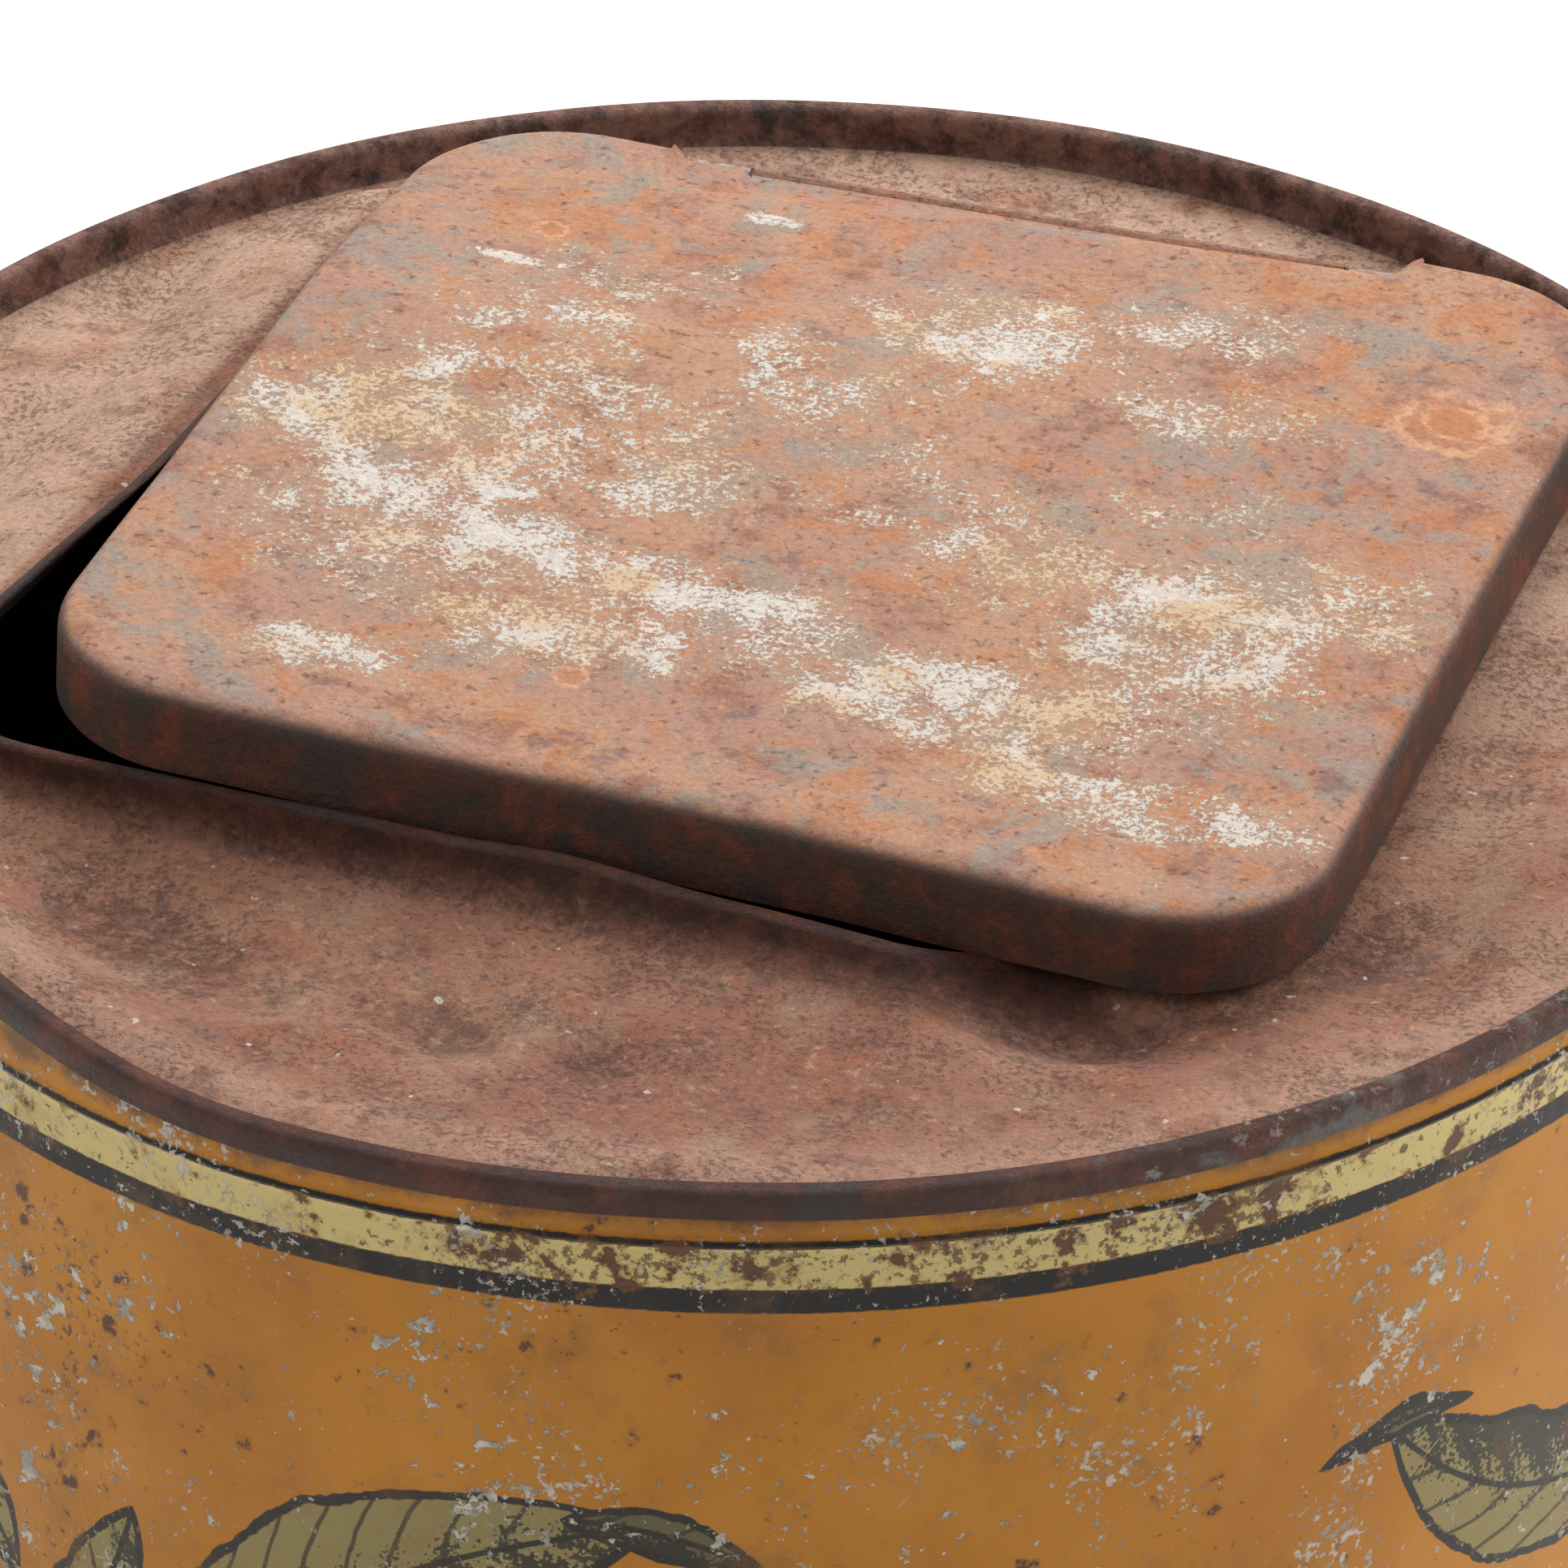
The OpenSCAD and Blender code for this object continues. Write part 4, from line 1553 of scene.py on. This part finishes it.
@dataclass(frozen=True)
class Lid:
    """The square lid: dished plate, folded skirt, and a strap curled round the hinge wire.

    Attributes:
        centre: Where the middle of its plate lies.
        hinge: Where the hinge's axis lies.
        width: Its width across the flats.
        corner: The radius of its corners.
        fold: The radius between plate and skirt.
        skirt: How far the skirt comes down.
        lean: How far it leans to the right, in degrees.
        strap: Half the width of the strap.
        gap: Half the width over which skirt and fold are cut away behind the strap.
        barrel: The outer radius of the strap's curl round the wire.
        nod: How far the back left corner is bent down.
    """

    centre: Vector
    hinge: Vector
    width: float = 129.956 * MM
    corner: float = 17.5 * MM
    fold: float = 2.4 * MM
    skirt: float = 8.9 * MM
    lean: float = 2.26
    strap: float = 32.7 * MM
    gap: float = 40.5 * MM
    barrel: float = 1.26 * MM
    nod: float = 4.3 * MM

    def build(self) -> Piece:
        """Press the plate and skirt, cut the back, lay the strap over the wire and thicken it.

        Returns:
            The finished lid, with a slot for each side's finish.
        """
        piece = cut_square("lid_rusted_cream", self.width, self.corner, 0)
        rise = self.skirt - self.fold
        skirt = [(0.0, rise * part) for part in (0.25, 0.5, 0.75, 1.0)]
        fold = [(self.fold - x, rise + y) for x, y in arc(self.fold, 0, 90, 7)]
        for low, high in zip([0.0] + [z for _, z in skirt], [z for _, z in skirt]):
            bpy.ops.mesh.extrude_region_move(TRANSFORM_OT_translate={"value": (0, 0, high - low)})
        inset_along([(inward, z - rise) for inward, z in fold])
        bpy.ops.mesh.inset(thickness=1.1 * MM, depth=0)
        bpy.ops.mesh.delete(type="ONLY_FACE")
        pick(Element.FACE, lambda face: len(face.verts) > 4)
        bpy.ops.mesh.delete(type="ONLY_FACE")
        self.fill_plate()
        self.cut_back()
        bpy.ops.object.mode_set(mode="OBJECT")
        true_normals(piece)
        turn_over(piece)
        # The facing weight, by which the finish lays the skirt's own rust and its painted shade.
        mark(piece, "side", self.side_weight)
        shape(piece, self.batter)
        piece.rotation_euler.y = math.radians(self.lean)
        down = Matrix.Rotation(math.radians(self.lean), 3, "Y") @ Vector((0, 0, self.skirt))
        piece.location = self.centre - down
        put_on_bench(piece)
        bpy.ops.object.transform_apply(location=True, rotation=True)
        self.curl(piece)
        thicken(piece, lined=True)
        return piece

    def fill_plate(self) -> None:
        """Fill the plate's middle with a grid whose corners lie in the middle of the arcs."""
        top = self.skirt
        pick(
            Element.EDGE,
            lambda edge: edge.is_boundary and all(abs(v.co.z - top) < 0.01 * MM for v in edge.verts),
        )
        bpy.ops.mesh.select_mode(type="VERT")
        mesh = bmesh.from_edit_mesh(bpy.context.object.data)
        corner = max((v for v in mesh.verts if v.select), key=lambda v: v.co.x + v.co.y)
        mesh.select_history.add(corner)
        mesh.select_history.validate()
        bmesh.update_edit_mesh(bpy.context.object.data)
        bpy.ops.mesh.fill_grid(span=ROUND_COUNT // 4)

    def cut_back(self) -> None:
        """Cut skirt and fold away behind the strap, and draw the plate out to the hinge."""
        back = self.width / 2 - self.fold - 0.01 * MM
        pick(
            Element.FACE,
            lambda face: abs(face.calc_center_median().x) < self.gap and face.calc_center_median().y > back,
        )
        bpy.ops.mesh.delete(type="FACE")
        flap = self.fold * 0.7
        pick(Element.EDGE, lambda edge: self.is_back(edge, back, self.gap))
        bpy.ops.mesh.extrude_edges_move(TRANSFORM_OT_translate={"value": (0, flap, 0)})
        pick(Element.EDGE, lambda edge: self.is_back(edge, back + flap, self.strap))
        reach = self.hinge.y - self.centre.y - back - flap
        for _ in range(2):
            bpy.ops.mesh.extrude_edges_move(TRANSFORM_OT_translate={"value": (0, reach / 2, 0)})

    @staticmethod
    def is_back(edge: bmesh.types.BMEdge, back: float, half: float) -> bool:
        """Say whether an edge is free and lies along the plate's back.

        Args:
            edge: The edge.
            back: How far back it has to lie.
            half: How far from the middle it may lie.

        Returns:
            True if it is such an edge.
        """
        along = abs(edge.verts[0].co.x - edge.verts[1].co.x) > 0.1 * MM
        at_back = all(abs(v.co.y - back) < 0.1 * MM for v in edge.verts)
        return edge.is_boundary and along and at_back and abs(middle(edge).x) < half

    def side_weight(self, point: Vector, normal: Vector) -> float:
        """Return 0 on the plate, rising over the fold to 1 on the skirt."""
        return smooth(abs(normal.z), 0.98, 0.15)

    def batter(self, point: Vector) -> Vector:
        """Move a point of the new pressing to where use has put it.

        Args:
            point: The point, in the lid's own frame.

        Returns:
            The moved point.
        """
        moved = point.copy()
        up = point.z / self.skirt
        moved.z -= hollow(LID_DENTS, point) * smooth(up, 0.6, 1.0)
        moved.z += (0.30 * MM * wave(point, 34 * MM, 31.0) + 0.10 * MM * wave(point, 12 * MM, 33.0)) * up
        moved.z += 0.25 * MM * wave(point, 18 * MM, 35.0) * (1 - up)
        flare = 0.35 * MM * wave(point, 24 * MM, 37.0) * (1 - up)
        moved += Vector((math.copysign(flare, point.x), math.copysign(flare, point.y), 0)) * 0.7
        moved.z -= self.nod * smooth(point.y, 16 * MM, 60 * MM) * smooth(point.x, 34 * MM, -34 * MM)
        moved.z -= 0.9 * MM * smooth(point.x, 5 * MM, 58 * MM) * smooth(point.y, 10 * MM, -58 * MM)
        if up > 0.5 and point.y > 0:
            level, sunk = self.strap_level(point)
            moved.z += (level - moved.z) * sunk
        return moved

    def strap_level(self, point: Vector) -> tuple[float, float]:
        """Work out how the plate goes down to the hinge behind.

        Args:
            point: The point, in the lid's own frame.

        Returns:
            The height that it sinks to, and how far it has sunk, from 0 to 1.
        """
        level = self.skirt + self.hinge.z - self.centre.z + self.barrel
        level += (point.x + self.centre.x - self.hinge.x) * math.tan(math.radians(self.lean))
        level += 0.9 * MM * smooth(abs(point.x), self.strap, self.strap + 0.8 * MM)
        along = (point.x + self.gap) / (2 * self.gap)
        start = (53 + 5 * smooth(along, 0.0, 0.5)) * MM
        end = self.hinge.y - self.centre.y
        early = 64.3 * MM
        sunk = smooth(point.y, start, min(early, end))
        inside = smooth(point.x, -self.gap - 0.6 * MM, -self.gap + 1.2 * MM)
        inside *= smooth(point.x, self.gap + 0.6 * MM, self.gap - 3.0 * MM)
        return level, sunk * inside

    def curl(self, piece: Piece) -> None:
        """Curl the strap's end round the hinge wire.

        Args:
            piece: The lid.
        """
        bpy.ops.object.mode_set(mode="EDIT")
        end = self.hinge.y - 0.3 * MM
        pick(
            Element.EDGE,
            lambda edge: edge.is_boundary
            and all(v.co.y > end for v in edge.verts)
            and abs(edge.verts[0].co.x - edge.verts[1].co.x) > 0.2 * MM,
        )
        bpy.ops.mesh.spin(
            steps=18, angle=math.radians(-300), center=self.hinge, axis=(1, 0, 0), dupli=False
        )
        bpy.ops.object.mode_set(mode="OBJECT")
        true_normals(piece)
        turn_over(piece)


# ---------------------------------------------------------------- the studio


@dataclass(frozen=True)
class Studio:
    """A pale table, soft light from above and both sides, and the camera.

    Attributes:
        aim: The point the camera looks at.
        azimuth: The camera's bearing from the front towards the right, in degrees.
        elevation: Its height over the horizon, in degrees.
        distance: How far it is from what it looks at.
        roll: How far its right side is raised, in degrees.
        lens: Its focal length in millimetres, on a 36 mm sensor.
    """

    aim: Vector
    azimuth: float = 18.66
    elevation: float = 31.58
    distance: float = 1.0934
    roll: float = 0.18
    lens: float = 259.05

    def camera(self) -> None:
        """Place the camera and make it the scene's."""
        clear_bench()
        side, up = math.radians(self.azimuth), math.radians(self.elevation)
        away = Vector((math.sin(side) * math.cos(up), -math.cos(side) * math.cos(up), math.sin(up)))
        bpy.ops.object.camera_add(location=self.aim + away * self.distance)
        camera = bpy.context.object
        camera.name = "camera"
        turned = away.to_track_quat("Z", "Y").to_matrix().to_4x4() @ Matrix.Rotation(
            math.radians(self.roll), 4, "Z"
        )
        camera.rotation_euler = turned.to_euler()
        camera.data.lens = self.lens
        camera.data.sensor_width = 36
        camera.data.clip_start = 0.01
        bpy.context.scene.camera = camera

    def softbox(self, name: str, place: Vector, size: float, watts: float, aim: Vector) -> None:
        """Hang one square softbox.

        Args:
            name: The light's name.
            place: Where it hangs.
            size: The width of its face.
            watts: Its power.
            aim: The point it faces.
        """
        clear_bench()
        bpy.ops.object.light_add(type="AREA", location=place)
        light = bpy.context.object
        light.name = name
        light.rotation_euler = (place - aim).to_track_quat("Z", "Y").to_euler()
        light.data.shape = "SQUARE"
        light.data.size = size
        light.data.energy = watts

    def light(self) -> None:
        """Hang the softboxes and set the room's own pale light."""
        middle_of_tin = Vector((0, 0, 0.22))
        self.softbox("softbox_top", Vector((-0.35, 0.95, 1.65)), 1.4, 33, middle_of_tin)
        self.softbox("softbox_left", Vector((-1.5, -0.7, 0.9)), 1.0, 6, middle_of_tin)
        self.softbox("softbox_right", Vector((1.3, 0.75, 1.1)), 1.0, 20, middle_of_tin)
        world = bpy.data.worlds.new("room")
        world.use_nodes = True
        room = world.node_tree.nodes["Background"]
        room.inputs["Color"].default_value = linear("#FFFDFA")
        room.inputs["Strength"].default_value = 0.46
        bpy.context.scene.world = world
        bpy.context.scene.view_settings.view_transform = "Standard"

    def table(self) -> None:
        """Lay the pale table top under the tin."""
        clear_bench()
        bpy.ops.mesh.primitive_plane_add(size=14, location=(0, 0, 0))
        floor = bpy.context.object
        floor.name = "table_top"
        s = Surface("Table_pale_laminate")
        faint = s.cloud(300, 91.0, 2, 0.5)
        colour = s.coat("#F4F3F1", "#F8F7F5", s.step(faint, 0.4, 0.6))
        floor.data.materials.append(s.finish(colour, 0.6, faint, 0.01))


def dress(names: Sequence[str], finish: PlainMetal) -> None:
    """Give nodes that stay as they are a finish.

    Args:
        names: The nodes.
        finish: What they are made of.
    """
    made = finish.material()
    for name in names:
        node = frame["nodes"][name]
        for slot in node.material_slots:
            slot.material = made
        LOG.info("%s: kept, finished as %s", name, finish.name)


def main() -> None:
    """Build the tin piece by piece, then the studio."""
    box = {name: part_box(name) for name in ("top_end", "body_wall", "lid")}
    lip = box["top_end"][1].z
    crest = lip - 1.0 * MM
    radius = box["top_end"][1].x
    seam = Seam(radius, radius - 2.2 * MM)
    wall_radius = radius - 1.35 * MM
    hinge = Vector(frame["joints"][0]["pos_m"])
    lid_centre = Vector((hinge.x, (box["lid"][0].y + hinge.y) / 2 - 0.4289 * MM, crest + 8.2 * MM))

    studio = Studio(aim=Vector((13.386 * MM, -32.216 * MM, crest)))
    studio.camera()

    sheet = RustedSheet().material()
    top = TopEnd(crest, seam).build()
    top.data.materials.append(sheet)
    keep(top, "tin", "rusted_tinplate", "top_end")

    wall = BodyWall(wall_radius, crest, seam).build()
    wall.data.materials[0] = PrintedWall(wall_radius / MM, crest / MM).material()
    inside = PlainMetal("Inside_dull_tin", "#4A423B", "#77706A", "#5B3A2A", 14, 0.5, 0.4)
    wall.data.materials[1] = inside.material()
    keep(wall, "tin", "printed_tinplate", "body_wall")

    bottom = BottomEnd(seam).build()
    bottom.data.materials.append(sheet)
    keep(bottom, "tin", "rusted_tinplate", "bottom_end")

    lid = Lid(lid_centre, hinge).build()
    lid.data.materials[0] = RustedPaintedLid((lid_centre.x / MM, lid_centre.y / MM)).material()
    lid.data.materials[1] = sheet
    keep(lid, "lid", "rusted_painted_lid", "lid")

    dress(["hinge_wire"], PlainMetal("Wire_dark_steel", "#55504C", "#8A837C", "#6B4030", 3, 0.4, 0.8))
    clip = PlainMetal("Clips_rusted_tinplate", "#6A5A50", "#8E8278", "#7A4632", 3, 0.5, 0.5)
    dress(["hinge_clip_left", "hinge_clip_right"], clip)
    solder = PlainMetal("Solder_dull_lead_tin", "#6E6C6A", "#A3A09B", "#7A6A5C", 2, 0.45, 0.7)
    dress(["clip_solder", "seam_solder"], solder)

    studio.light()
    studio.table()


if __name__ == "__main__":
    logging.basicConfig(level=logging.INFO, format="%(message)s")
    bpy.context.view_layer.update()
    main()
